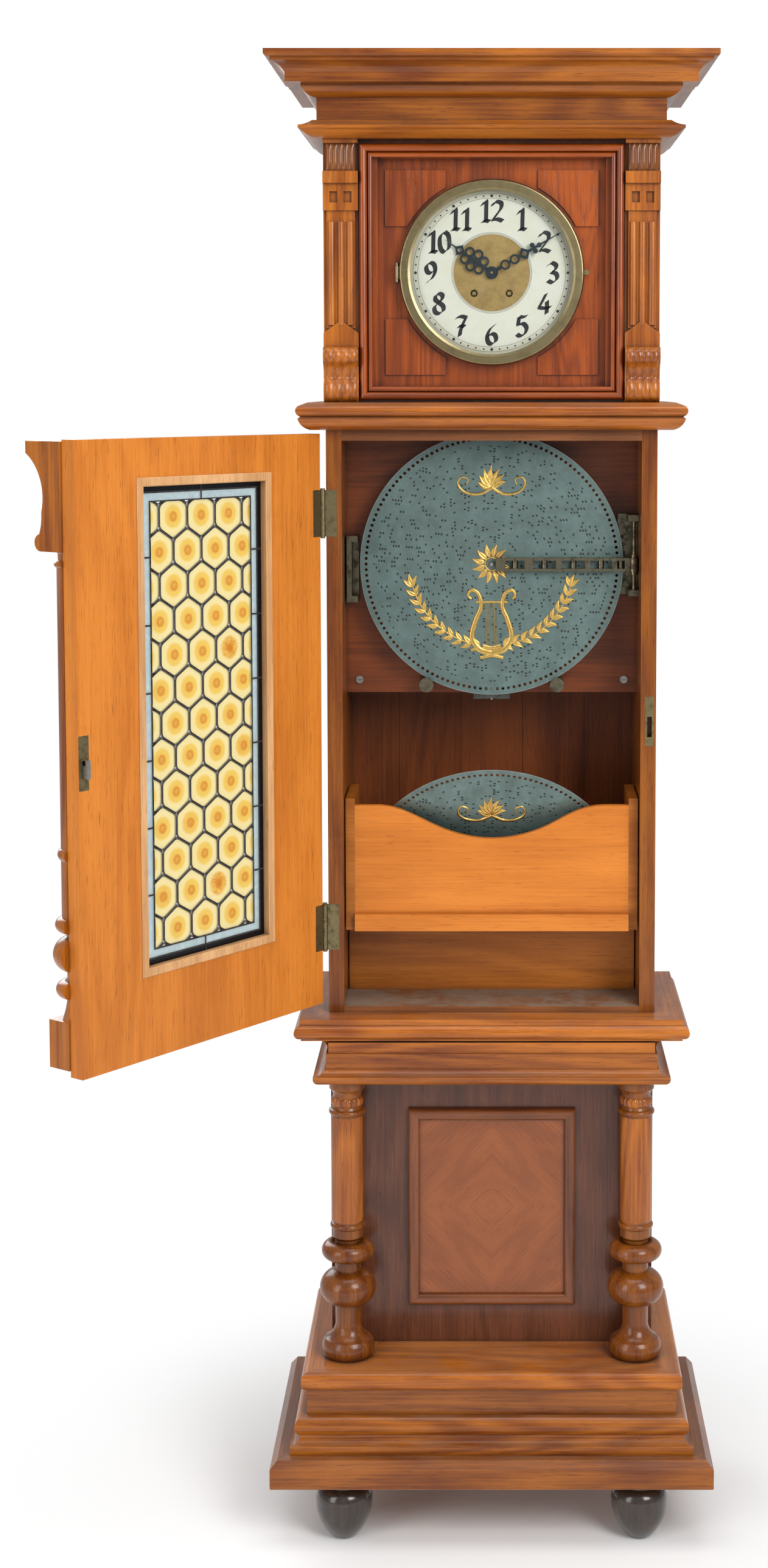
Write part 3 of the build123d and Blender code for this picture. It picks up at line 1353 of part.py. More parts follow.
with BuildSketch() as strips:
    inner = 2 * edge_came
    middle = inner + 2 * pale_strip
    outer = middle + 2 * strip_came
    Rectangle(glass_width - 2 * strip_came, glass_height - 2 * strip_came)
    Rectangle(field_width + outer, field_height + outer, mode=Mode.SUBTRACT)
    Rectangle(field_width + middle, field_height + middle)
    Rectangle(field_width + inner, field_height + inner, mode=Mode.SUBTRACT)
    for cross in range(cross_lead_count):
        with Locations((0, (cross - (cross_lead_count - 1) / 2) * cross_lead_pitch)):
            Rectangle(glass_width, strip_came, mode=Mode.SUBTRACT)
    Rectangle(strip_came, glass_height, mode=Mode.SUBTRACT)

leads_w = door_inner + bead_depth
glass_w = leads_w + glass_inset
glass_thickness = glass_panel_thickness - 2 * glass_inset
with BuildPart() as glass_leading:
    with BuildSketch(door_face(leads_w)):
        with Locations(opening_middle):
            Rectangle(glass_width, glass_height)
            add(honeycomb.sketch, mode=Mode.SUBTRACT)
            add(strips.sketch, mode=Mode.SUBTRACT)
    extrude(amount=glass_panel_thickness)
glass_leading.part.label = "glass_leading"
export_step(glass_leading.part, "parts/glass_leading.step")

with BuildPart() as glass_roundels:
    with BuildSketch(door_face(glass_w)):
        with Locations(opening_middle):
            add(honeycomb.sketch)
    extrude(amount=glass_thickness)
glass_roundels.part.label = "glass_roundels"
export_step(glass_roundels.part, "parts/glass_roundels.step")

with BuildPart() as border_glass:
    with BuildSketch(door_face(glass_w)):
        with Locations(opening_middle):
            add(strips.sketch)
    extrude(amount=glass_thickness)
border_glass.part.label = "border_glass"
export_step(border_glass.part, "parts/border_glass.step")


def console_outline():
    """The side view of a console: a rolled foot, a hollow and a deep top."""
    face = door_outer
    low = door_top - console_drop - console_height
    high = door_top - console_drop
    roll, hollow, deep = face + console_foot, face + block_out, face + console_out
    Polyline((face, high), (face, low), (roll - 9, low))
    ThreePointArc((roll - 9, low), (roll, low + 9), (roll - 8, low + 20))
    ThreePointArc((roll - 8, low + 20), (hollow + 1, low + 30), (hollow, low + 45))
    ThreePointArc((hollow, low + 45), (hollow + 7, high - 32), (deep, high - 14))
    Polyline((deep, high - 14), (deep, high), (face, high))


# Two half columns on the door, each on a block and under a scrolled console
with BuildPart() as door_columns:
    block_z = (door_bottom + block_rise, door_bottom + block_rise + block_height)
    for u in column_places:
        block_u = (u - block_width / 2, u + block_width / 2)
        door_board(block_u, (door_outer, door_outer + block_out), block_z)
        turn(door_axis(u, door_outer, block_z[1]), half_column_outline, arc=180)
        with BuildSketch(door_side(block_u[1])):
            with BuildLine():
                console_outline()
            make_face()
        extrude(amount=block_width)
    escutcheon_w = door_outer + half_column_radius - 5
    rod(door_face(door_outer, key_place, lock_level), key_radius, 40, Mode.SUBTRACT)
    rod(door_face(escutcheon_w, key_place, lock_level), escutcheon_radius, 20, Mode.SUBTRACT)
door_columns.part.label = "door_columns"
export_step(door_columns.part, "parts/door_columns.step")

# Door-side hinge leaves
with BuildPart() as door_hinge_leaves:
    for level in hinge_levels:
        low = level - leaf_height / 2
        door_board((0, leaf_reach), lock_plate_w, (low, low + leaf_height))
        for start in (low, level + third - 0.1):
            rod(upward(pin_x, pin_y, start), knuckle_radius + 0.3, 2 * third + 0.1, Mode.SUBTRACT)
        rod(upward(pin_x, pin_y, level - third + 0.1), knuckle_radius, 2 * third - 0.2)
        rod(upward(pin_x, pin_y, low), pin_radius + running_fit, leaf_height, Mode.SUBTRACT)
door_hinge_leaves.part.label = "door_hinge_leaves"
export_step(door_hinge_leaves.part, "parts/door_hinge_leaves.step")

# Lock: its plate and case in the door, its escutcheon in the column, and its bolt
bolt_middle = bolt_x - pin_x
bolt_u = (bolt_middle - bolt_thickness / 2, bolt_middle + bolt_thickness / 2)
slot_u = (bolt_u[0] - 0.2, bolt_u[1] + 0.2)
slot_z = (bolt_bottom - 0.5, bolt_bottom + bolt_height + bolt_throw + 0.5)
with BuildPart() as door_lock:
    door_board(lock_plate_u, lock_plate_w, strike_rise)
    door_board(lock_case_u, lock_case_w, lock_case_z)
    door_board(slot_u, (door_inner, bolt_root + 0.5), slot_z, Mode.SUBTRACT)
    escutcheon = door_face(escutcheon_w, key_place, lock_level)
    rod(escutcheon, escutcheon_radius, 6)
    rod(escutcheon, key_radius, 6, Mode.SUBTRACT)
door_lock.part.label = "door_lock"
export_step(door_lock.part, "parts/door_lock.step")

with BuildPart() as lock_bolt:
    door_board(bolt_u, (-bolt_reach, bolt_root), (bolt_bottom, bolt_bottom + bolt_height))
    door_board(bolt_u, (-bolt_reach, bolt_nose_depth - bolt_reach), (bolt_bottom + bolt_height, bolt_top))
lock_bolt.part.label = "lock_bolt"
export_step(lock_bolt.part, "parts/lock_bolt.step")
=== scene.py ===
"""Dresses a longcase clock that holds a disc musical box, and sets up its studio."""

import math

import bpy
import numpy as np
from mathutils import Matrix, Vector


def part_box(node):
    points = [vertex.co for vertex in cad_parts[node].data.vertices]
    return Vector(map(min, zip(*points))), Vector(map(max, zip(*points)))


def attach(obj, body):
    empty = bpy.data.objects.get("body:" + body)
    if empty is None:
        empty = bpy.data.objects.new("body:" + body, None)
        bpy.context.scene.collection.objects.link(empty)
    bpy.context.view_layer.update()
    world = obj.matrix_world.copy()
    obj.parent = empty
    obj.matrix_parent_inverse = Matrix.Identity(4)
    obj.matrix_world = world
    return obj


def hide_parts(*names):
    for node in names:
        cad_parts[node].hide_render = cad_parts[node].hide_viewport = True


bl_info = {
    "name": "Longcase clock dressing",
    "version": (1, 0, 0),
    "blender": (4, 5, 0),
    "location": "View3D > Sidebar > Clock",
    "description": "Finishes for the woods, metals and glass of a longcase clock, with its detail and studio",
    "category": "Object",
}

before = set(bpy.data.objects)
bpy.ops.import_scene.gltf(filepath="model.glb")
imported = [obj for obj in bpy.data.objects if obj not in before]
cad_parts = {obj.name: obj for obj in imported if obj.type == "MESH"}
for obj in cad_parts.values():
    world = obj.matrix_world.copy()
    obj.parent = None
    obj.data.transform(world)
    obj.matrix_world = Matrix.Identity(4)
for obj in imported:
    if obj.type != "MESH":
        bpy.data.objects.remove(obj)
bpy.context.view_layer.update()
mm = 0.001

# Places that the clock's parts share, in metres
dial_level = 1.634
dial_face = -0.032
disc_level = 1.257
disc_face = 0.010
spare_lean = math.radians(26)
pin_place = Vector((-0.217, -0.05025, 0.0))
door_turn = math.radians(-126.7)
along = Vector((math.cos(door_turn), math.sin(door_turn), 0))
outward = Vector((math.sin(door_turn), -math.cos(door_turn), 0))
glass_u, glass_w, glass_level = 0.2145, 0.00975, 1.085


# Sizes and colours that a user would change

def colour_setting(name, description, default):
    return bpy.props.FloatVectorProperty(
        name=name, description=description, subtype="COLOR", size=3, min=0, max=1, default=default)


def length_setting(name, description, default):
    return bpy.props.FloatProperty(name=name, description=description, unit="LENGTH", default=default)


class ClockWoods(bpy.types.PropertyGroup):
    case_light: colour_setting("Case light", "Light streaks of the case's walnut", (0.46, 0.138, 0.010))
    case_dark: colour_setting("Case dark", "Dark streaks of the case's walnut", (0.165, 0.034, 0.003))
    door_light: colour_setting("Door light", "Light streaks inside the door and on the rack",
                               (0.66, 0.215, 0.026))
    door_dark: colour_setting("Door dark", "Dark streaks inside the door and on the rack",
                              (0.48, 0.135, 0.012))
    varnish: bpy.props.FloatProperty(
        name="Varnish", description="Weight of the polish on the case", subtype="FACTOR",
        min=0, max=1, default=0.45)


class ClockDial(bpy.types.PropertyGroup):
    numeral_circle: length_setting("Numeral circle", "Radius on which the numerals stand", 0.078)
    numeral_height: length_setting("Numeral height", "Height of a numeral", 0.026)
    nib_width: length_setting("Nib width", "Breadth of the pen that draws the numerals", 0.0056)
    nib_angle: bpy.props.FloatProperty(
        name="Nib angle", description="Slant of the pen that draws the numerals", unit="ROTATION",
        default=math.radians(38))
    minute_circle: length_setting("Minute circle", "Radius of the minute dots", 0.0975)


class ClockGlass(bpy.types.PropertyGroup):
    roundel_pitch: length_setting("Roundel pitch", "Distance between two roundels in a row", 0.048)
    boss_height: length_setting("Boss height", "Height of the bullseye on each roundel", 0.0014)
    amber: colour_setting("Amber", "Colour at the middle of a roundel", (0.78, 0.30, 0.02))
    straw: colour_setting("Straw", "Colour between a roundel's middle and its rim", (0.95, 0.76, 0.27))
    cream: colour_setting("Cream", "Colour along a roundel's rim", (0.98, 0.90, 0.60))
    pale_blue: colour_setting("Pale blue", "Colour of the border strips", (0.70, 0.80, 0.86))


class ClockDisc(bpy.types.PropertyGroup):
    zinc: colour_setting("Zinc", "Colour of the discs", (0.125, 0.185, 0.175))
    wreath_radius: length_setting("Wreath radius", "Radius of the gilt wreath on a disc", 0.108)
    relief: length_setting("Relief", "Height of the gilt ornament", 0.0007)


class ClockStage(bpy.types.PropertyGroup):
    camera_height: length_setting("Camera height", "Height of the camera above the floor", 1.490)
    camera_distance: length_setting("Camera distance",
                                    "Distance of the camera in front of the case's middle", 3.039)
    camera_pitch: bpy.props.FloatProperty(
        name="Camera pitch", description="How far the camera looks down", unit="ROTATION",
        default=math.radians(4.75))
    key_power: bpy.props.FloatProperty(
        name="Key power", description="Power of the main light", unit="POWER", default=80.0)
    sky: bpy.props.FloatProperty(
        name="Sky", description="Strength of the even light from all sides", min=0, default=0.46)


# Surfaces

def smooth_path(points, count):
    """A curve through the points, with straight-line tangents between each point's neighbours."""
    points = np.asarray(points, float)
    ends = (2 * points[:1] - points[1:2], 2 * points[-1:] - points[-2:-1])
    padded = np.vstack([ends[0], points, ends[1]])
    place = np.linspace(0, len(points) - 1, count)
    first = np.minimum(place.astype(int), len(points) - 2)
    t = (place - first)[:, None]
    a, b, c, d = (padded[first + step] for step in range(4))
    return 0.5 * (2 * b + (c - a) * t + (2 * a - 5 * b + 4 * c - d) * t**2 + (3 * b - a - 3 * c + d) * t**3)


def arc_through(start, middle, end, count):
    """Points of the circle through three points of a plane."""
    (ax, ay), (bx, by), (cx, cy) = start, middle, end
    across = 2 * (ax * (by - cy) + bx * (cy - ay) + cx * (ay - by))
    ux = ((ax**2 + ay**2) * (by - cy) + (bx**2 + by**2) * (cy - ay) + (cx**2 + cy**2) * (ay - by)) / across
    uy = ((ax**2 + ay**2) * (cx - bx) + (bx**2 + by**2) * (ax - cx) + (cx**2 + cy**2) * (bx - ax)) / across
    first, via, last = (math.atan2(y - uy, x - ux) for x, y in (start, middle, end))
    via = (via - first) % (2 * math.pi)
    last = (last - first) % (2 * math.pi)
    if via > last:
        last -= 2 * math.pi
    turn = first + np.linspace(0, last, count)
    radius = math.hypot(ax - ux, ay - uy)
    return np.stack([ux + radius * np.cos(turn), uy + radius * np.sin(turn)], axis=1)


def path_normals(path):
    """Unit normals to the left of a plane path."""
    step = np.gradient(path, axis=0)
    step /= np.linalg.norm(step, axis=1)[:, None] + 1e-12
    return np.stack([-step[:, 1], step[:, 0]], axis=1)


def piece(name, patches, material, body, wrap=False):
    """A smooth mesh of grids. Each grid has rows, columns and the three coordinates of its points."""
    points, faces, used = [], [], 0
    for grid in patches:
        rows, columns = grid.shape[:2]
        number = used + np.arange(rows * columns).reshape(rows, columns)
        after = np.roll(number, -1, axis=1)
        if not wrap:
            number, after = number[:, :-1], number[:, 1:]
        quads = np.stack([number[:-1], after[:-1], after[1:], number[1:]], axis=-1)
        faces.append(quads.reshape(-1, 4))
        points.append(grid.reshape(-1, 3))
        used += rows * columns
    mesh = bpy.data.meshes.new(name)
    mesh.from_pydata(np.vstack(points), [], np.vstack(faces))
    mesh.polygons.foreach_set("use_smooth", np.ones(len(mesh.polygons), bool))
    mesh.materials.append(material)
    made = bpy.data.objects.new(name, mesh)
    bpy.context.scene.collection.objects.link(made)
    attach(made, body)
    return made


def on_dial(flat, height):
    """Lift plane points (x to the right, z up from the dial's centre) off the enamel by a height."""
    flat = np.asarray(flat)
    y = np.broadcast_to(dial_face - 0.004 - height, flat.shape[:-1])
    return np.stack([flat[..., 0], y, dial_level + flat[..., 1]], axis=-1)


def on_disc(flat, height):
    """Lift plane points off the front of the playing disc by a height."""
    height = np.broadcast_to(height, flat.shape[:-1])
    return np.stack([flat[..., 0], disc_face - height, disc_level + flat[..., 1]], axis=-1)


def on_spare(flat, height):
    """Lift plane points off the front of the spare disc by a height."""
    height = np.broadcast_to(height, flat.shape[:-1]) + 0.0005
    low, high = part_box("spare_disc")
    middle = (low + high) / 2
    sine, cosine = math.sin(spare_lean), math.cos(spare_lean)
    y = middle.y - sine * flat[..., 1] - cosine * height
    z = middle.z + cosine * flat[..., 1] - sine * height
    return np.stack([flat[..., 0], y, z], axis=-1)


def on_door(u, w, z):
    """Points of the open door: u along it from the pin, w towards its outer face."""
    x = pin_place.x + u * along.x + w * outward.x
    y = pin_place.y + u * along.y + w * outward.y
    return np.stack(np.broadcast_arrays(x, y, z), axis=-1)


def ridge(path, half, height, across=7):
    """A half-round band along a plane path: plane points and heights, the highest along the path."""
    side = np.linspace(-1, 1, across)
    half = np.broadcast_to(half, len(path))
    flat = path[:, None] + path_normals(path)[:, None] * (side[None, :, None] * half[:, None, None])
    return flat, height * np.sqrt(np.clip(1 - side**2, 0, 1))[None, :] * np.ones((len(path), 1))


# Materials

class Shader:
    """A material's nodes. Sockets are passed on as values, and plain values are set on sockets."""

    def __init__(self, name):
        self.material = bpy.data.materials.new(name)
        self.material.use_nodes = True
        self.tree = self.material.node_tree
        self.tree.nodes.clear()
        self.out = self.tree.nodes.new("ShaderNodeOutputMaterial")

    def node(self, kind, inputs=(), **settings):
        made = self.tree.nodes.new(kind)
        for name, value in settings.items():
            setattr(made, name, value)
        for name, value in dict(inputs).items():
            self.feed(made.inputs[name], value)
        return made

    def feed(self, socket, value):
        if isinstance(value, bpy.types.NodeSocket):
            self.tree.links.new(value, socket)
        elif socket.type == "RGBA":
            socket.default_value = (*value[:3], 1)
        else:
            socket.default_value = value

    def seat(self, output="Object"):
        return self.node("ShaderNodeTexCoord").outputs[output]

    def mapped(self, vector, **inputs):
        kind = inputs.pop("kind", "POINT")
        places = {name.capitalize(): value for name, value in inputs.items()}
        return self.node("ShaderNodeMapping", {"Vector": vector, **places}, vector_type=kind).outputs[0]

    def noise(self, vector, scale=1.0, detail=2.0, roughness=0.5, distortion=0.0):
        inputs = {"Vector": vector, "Scale": scale, "Detail": detail, "Roughness": roughness,
                  "Distortion": distortion}
        return self.node("ShaderNodeTexNoise", inputs).outputs[0]

    def math(self, operation, first, second=0.0, third=0.0, clamp=False):
        inputs = {0: first, 1: second, 2: third}
        return self.node("ShaderNodeMath", inputs, operation=operation, use_clamp=clamp).outputs[0]

    def distance(self, x, y):
        """How far a plane point is from the middle."""
        return self.math("SQRT", self.math("ADD", self.math("MULTIPLY", x, x), self.math("MULTIPLY", y, y)))

    def step(self, value, low, high):
        """A smooth rise from 0 at low to 1 at high."""
        inputs = {"Value": value, "From Min": low, "From Max": high}
        return self.node("ShaderNodeMapRange", inputs, interpolation_type="SMOOTHSTEP").outputs[0]

    def parts(self, vector):
        return self.node("ShaderNodeSeparateXYZ", {0: vector}).outputs

    def joined(self, x, y, z):
        return self.node("ShaderNodeCombineXYZ", {0: x, 1: y, 2: z}).outputs[0]

    def blend(self, factor, first, second):
        mixer = self.node("ShaderNodeMix", data_type="RGBA")
        self.feed(mixer.inputs[0], factor)
        self.feed(mixer.inputs[6], first)
        self.feed(mixer.inputs[7], second)
        return mixer.outputs[2]

    def hollows(self, distance):
        """1 in corners and under edges, 0 on open faces."""
        open_sky = self.node("ShaderNodeAmbientOcclusion", {"Distance": distance}, samples=4).outputs["AO"]
        return self.step(open_sky, 0.85, 0.25)

    def bump(self, height, distance, strength=1.0):
        inputs = {"Height": height, "Distance": distance, "Strength": strength}
        return self.node("ShaderNodeBump", inputs).outputs[0]

    def surface(self, **inputs):
        sockets = {name.replace("_", " "): value for name, value in inputs.items()}
        made = self.node("ShaderNodeBsdfPrincipled", sockets)
        self.tree.links.new(made.outputs[0], self.out.inputs[0])
        return made


def tint(colour, factor):
    return tuple(min(channel * factor, 1) for channel in colour[:3])


def grained(s, vector, light, dark, figure, place):
    """Colour and height of wood whose grain runs along x."""
    def stretch(across, lengthwise):
        return s.mapped(vector, location=place, scale=(lengthwise, across, across))

    growth = s.noise(stretch(6, 0.9), detail=2, distortion=0.5)
    rings = s.math("MULTIPLY_ADD", s.math("SINE", s.math("MULTIPLY", growth, 95 * figure)), 0.5, 0.5)
    fibres = s.noise(stretch(330, 8), detail=3, roughness=0.65)
    cloud = s.noise(stretch(9, 3.5), detail=3, roughness=0.6)
    tone = s.math("MULTIPLY_ADD", rings, 0.12, s.math("MULTIPLY", fibres, 0.5))
    tone = s.math("MULTIPLY_ADD", cloud, 0.62, s.math("SUBTRACT", tone, 0.13))
    colour = s.blend(s.step(tone, 0.26, 0.72), dark, light)
    pores = s.step(s.noise(stretch(1100, 42), detail=1), 0.64, 0.72)
    colour = s.blend(s.math("MULTIPLY", pores, 0.55), colour, tint(dark, 0.4))
    height = s.math("MULTIPLY_ADD", pores, -0.8, s.math("MULTIPLY", fibres, 0.5))
    return colour, height


def wood(name, light, dark, grain="z", mitre=None, border=None, turn=0.0, place=(0, 0, 0), figure=1.0,
         roughness=0.3, varnish=0.45, dust=0.0, worn=0.0, quarters=None):
    """Polished wood. The grain runs along x, y or z, or follows a moulding's or a frame's mitres,
    or points from four quarters to the middle of a matched panel."""
    s = Shader(name)
    seat = s.seat()
    if turn:
        seat = s.mapped(seat, kind="TEXTURE", rotation=(0, 0, turn))
    x, y, z = s.parts(seat)
    if mitre:
        # Side run where a point is further out past the corner than forward of it
        past = s.math("SUBTRACT", s.math("ABSOLUTE", x), mitre[0] + mitre[1])
        on_side = s.math("GREATER_THAN", s.math("ADD", past, y), 0)
        mixer = s.node("ShaderNodeMix", data_type="VECTOR")
        s.feed(mixer.inputs[0], on_side)
        s.feed(mixer.inputs[4], seat)
        s.feed(mixer.inputs[5], s.joined(s.math("ADD", y, 3.7), x, z))
        vector = mixer.outputs[1]
    elif border:
        # Stile where a point is nearer to a frame's upright edge than to its level one
        width, height, level = border
        sideways = s.math("SUBTRACT", s.math("ABSOLUTE", x), width / 2)
        upward = s.math("SUBTRACT", s.math("ABSOLUTE", s.math("SUBTRACT", z, level)), height / 2)
        stile = s.math("GREATER_THAN", sideways, upward)
        mixer = s.node("ShaderNodeMix", data_type="VECTOR")
        s.feed(mixer.inputs[0], stile)
        s.feed(mixer.inputs[4], seat)
        s.feed(mixer.inputs[5], s.joined(s.math("ADD", z, 2.3), y, x))
        vector = mixer.outputs[1]
    elif quarters:
        sideways = s.math("ABSOLUTE", x)
        upward = s.math("ABSOLUTE", s.math("SUBTRACT", z, quarters))
        vector = s.joined(s.math("SUBTRACT", sideways, upward), y, s.math("ADD", sideways, upward))
    elif grain == "z":
        vector = s.joined(z, y, x)
    elif grain == "y":
        vector = s.joined(y, x, z)
    else:
        vector = seat
    colour, height = grained(s, vector, light, dark, figure, place)
    # Painted shade: the wood is darkened towards a deep brown in corners and under edges.
    hollows = s.hollows(0.012)
    colour = s.blend(s.math("MULTIPLY", hollows, 0.72), colour, tint(dark, 0.22))
    if worn:
        patches = s.step(s.noise(seat, 14, 4, 0.7), 0.58, 0.78)
        colour = s.blend(s.math("MULTIPLY", patches, worn), colour, tint(light, 1.25))
    smears = s.noise(seat, 23, 4, 0.7)
    rough = s.math("MULTIPLY_ADD", smears, 0.22, roughness - 0.1)
    coat = varnish
    if dust:
        facing_up = s.step(s.parts(s.seat("Normal"))[2], 0.6, 0.95)
        lying = s.math("MULTIPLY", facing_up, s.step(s.noise(seat, 16, 5, 0.75), 0.3, 0.6))
        lying = s.math("MULTIPLY", lying, dust)
        colour = s.blend(lying, colour, (0.22, 0.175, 0.13))
        rough = s.math("MULTIPLY_ADD", lying, 0.5, rough, clamp=True)
        coat = s.math("MULTIPLY_ADD", lying, -varnish, varnish)
    s.surface(Base_Color=colour, Roughness=rough, Coat_Weight=coat, Coat_Roughness=0.14, Coat_IOR=1.4,
              Specular_IOR_Level=0.3, Normal=s.bump(height, 0.0003, 0.35))
    return s.material


def metal(name, colour, tarnish, roughness=0.3, patina=0.6, brushed="", grain_scale=60, pitting=0.2):
    """Metal that darkens in its corners and in clouded patches, with fine scratches."""
    s = Shader(name)
    seat = s.seat()
    clouds = s.step(s.noise(seat, grain_scale, 5, 0.7), 0.42, 0.68)
    stain = s.math("MULTIPLY", clouds, patina)
    corners = s.math("MULTIPLY", s.hollows(0.006), 0.85)
    stain = s.math("MAXIMUM", stain, corners)
    scale = {"x": (9, 900, 900), "z": (900, 900, 9)}.get(brushed, (500, 500, 500))
    scratches = s.noise(s.mapped(seat, scale=scale), 1, 2)
    rough = s.math("MULTIPLY_ADD", stain, 0.25, s.math("MULTIPLY_ADD", scratches, 0.2, roughness - 0.1))
    height = s.math("MULTIPLY_ADD", s.noise(seat, 700, 3), pitting, s.math("MULTIPLY", scratches, 0.3))
    s.surface(Base_Color=s.blend(stain, colour, tarnish), Metallic=1.0, Roughness=rough,
              Normal=s.bump(height, 0.0002, 0.4))
    return s.material


def turned_metal(name, colour, tarnish, centre, roughness=0.28):
    """A brass plate with the fine rings of its turning about a centre, matted between them."""
    s = Shader(name)
    x, y, z = s.parts(s.mapped(s.seat(), kind="TEXTURE", location=centre))
    radius = s.distance(x, z)
    rings = s.noise(s.joined(s.math("MULTIPLY", radius, 2600), 0.0, 0.0), 1, 3)
    stipple = s.noise(s.seat(), 1500, 2)
    stain = s.math("MULTIPLY", s.step(s.noise(s.seat(), 55, 5, 0.7), 0.4, 0.75), 0.55)
    stain = s.math("MAXIMUM", stain, s.math("MULTIPLY", s.hollows(0.004), 0.8))
    height = s.math("MULTIPLY_ADD", rings, 0.5, s.math("MULTIPLY", stipple, 0.6))
    s.surface(Base_Color=s.blend(stain, colour, tarnish), Metallic=1.0,
              Roughness=s.math("MULTIPLY_ADD", rings, 0.2, roughness), Normal=s.bump(height, 0.0002, 0.5))
    return s.material


def enamel():
    """Cream enamel, darker and yellower towards its edges, with fine craze lines and a little dirt."""
    s = Shader("enamel")
    seat = s.seat()
    x, y, z = s.parts(s.mapped(seat, kind="TEXTURE", location=(0, 0, dial_level)))
    radius = s.distance(x, z)
    edge = s.step(radius, 0.09, 0.106)
    clouds = s.step(s.noise(seat, 28, 4, 0.6), 0.35, 0.8)
    colour = s.blend(s.math("MULTIPLY", clouds, 0.5), (0.86, 0.85, 0.76), (0.78, 0.74, 0.58))
    colour = s.blend(s.math("MULTIPLY", edge, 0.75), colour, (0.55, 0.50, 0.34))
    cells = s.node("ShaderNodeTexVoronoi", {"Vector": seat, "Scale": 260},
                   feature="DISTANCE_TO_EDGE").outputs[0]
    craze = s.math("MULTIPLY", s.step(cells, 0.03, 0.0), 0.1)
    colour = s.blend(craze, colour, (0.3, 0.22, 0.12))
    s.surface(Base_Color=colour, Roughness=0.24, Coat_Weight=0.6, Coat_Roughness=0.06,
              Normal=s.bump(s.noise(seat, 90, 2), 0.0003, 0.15))
    return s.material


def zinc(name, colour, centre, lean=0.0):
    """Lacquered zinc, punched with short slots that lie on rings, as many as chance gives each ring."""
    s = Shader(name)
    flat = s.mapped(s.seat(), kind="TEXTURE", location=centre, rotation=(lean, 0, 0))
    x, y, z = s.parts(flat)
    radius = s.distance(x, z)
    angle = s.math("ARCTAN2", z, x)
    ring_width, slot_length = 0.0034, 0.0052
    track = s.math("DIVIDE", radius, ring_width)
    ring = s.math("FLOOR", track)
    run = s.math("DIVIDE", s.math("MULTIPLY", angle, s.math("MULTIPLY", ring, ring_width)), slot_length)
    slot = s.math("FLOOR", run)
    chance = s.node("ShaderNodeTexWhiteNoise", {"Vector": s.joined(ring, slot, 0.0)}).outputs[0]
    across = s.math("ABSOLUTE", s.math("SUBTRACT", s.math("SUBTRACT", track, ring), 0.5))
    lengthwise = s.math("ABSOLUTE", s.math("SUBTRACT", s.math("SUBTRACT", run, slot), 0.5))
    shape = s.math("MULTIPLY", s.step(across, 0.36, 0.2), s.step(lengthwise, 0.34, 0.2))
    label_edge, played_edge, slot_share = 0.026, 0.158, 0.22
    played = s.math("MULTIPLY", s.step(radius, label_edge, 0.03), s.step(radius, played_edge, 0.154))
    hole = s.math("MULTIPLY", s.math("GREATER_THAN", chance, 1 - slot_share),
                  s.math("MULTIPLY", shape, played))
    clouds = s.step(s.noise(flat, 30, 6, 0.72), 0.32, 0.72)
    brown = s.step(s.noise(s.mapped(flat, location=(3, 1, 5)), 75, 5, 0.75), 0.56, 0.74)
    rubbed = s.step(s.noise(s.mapped(flat, scale=(60, 60, 900)), 1, 3), 0.6, 0.8)
    base = s.blend(clouds, tint(colour, 0.78), tint(colour, 1.22))
    base = s.blend(s.math("MULTIPLY", brown, 0.5), base, (0.11, 0.085, 0.05))
    base = s.blend(s.math("MULTIPLY", rubbed, 0.16), base, (0.3, 0.36, 0.34))
    base = s.blend(s.math("MULTIPLY", hole, 0.88), base, (0.015, 0.018, 0.016))
    rim = s.step(radius, 0.1715, 0.1725)
    base = s.blend(s.math("MULTIPLY", rim, 0.6), base, (0.4, 0.42, 0.4))
    height = s.math("MULTIPLY_ADD", hole, -1.0, s.math("MULTIPLY", clouds, 0.06))
    s.surface(Base_Color=base, Metallic=0.55, Roughness=s.math("MULTIPLY_ADD", clouds, -0.12, 0.5),
              Normal=s.bump(height, 0.0006, 0.7))
    return s.material


def see_through(s, colour, clearness, **finish):
    """Join coloured glass that lets light straight through with the same colour as a solid body."""
    body = s.surface(Base_Color=colour, **finish)
    clear = s.node("ShaderNodeBsdfTransparent", {"Color": colour}).outputs[0]
    glow = s.node("ShaderNodeBsdfTranslucent", {"Color": colour}).outputs[0]
    lit = s.node("ShaderNodeMixShader", {0: 0.55, 1: body.outputs[0], 2: glow}).outputs[0]
    mixed = s.node("ShaderNodeMixShader", {0: clearness, 1: lit, 2: clear}).outputs[0]
    s.tree.links.new(mixed, s.out.inputs[0])


def door_panel_place():
    """The middle of the leaded panel, on the middle plane of its glass."""
    point = on_door(*(np.array(value) for value in (glass_u, glass_w, glass_level)))
    return tuple(float(value) for value in point)


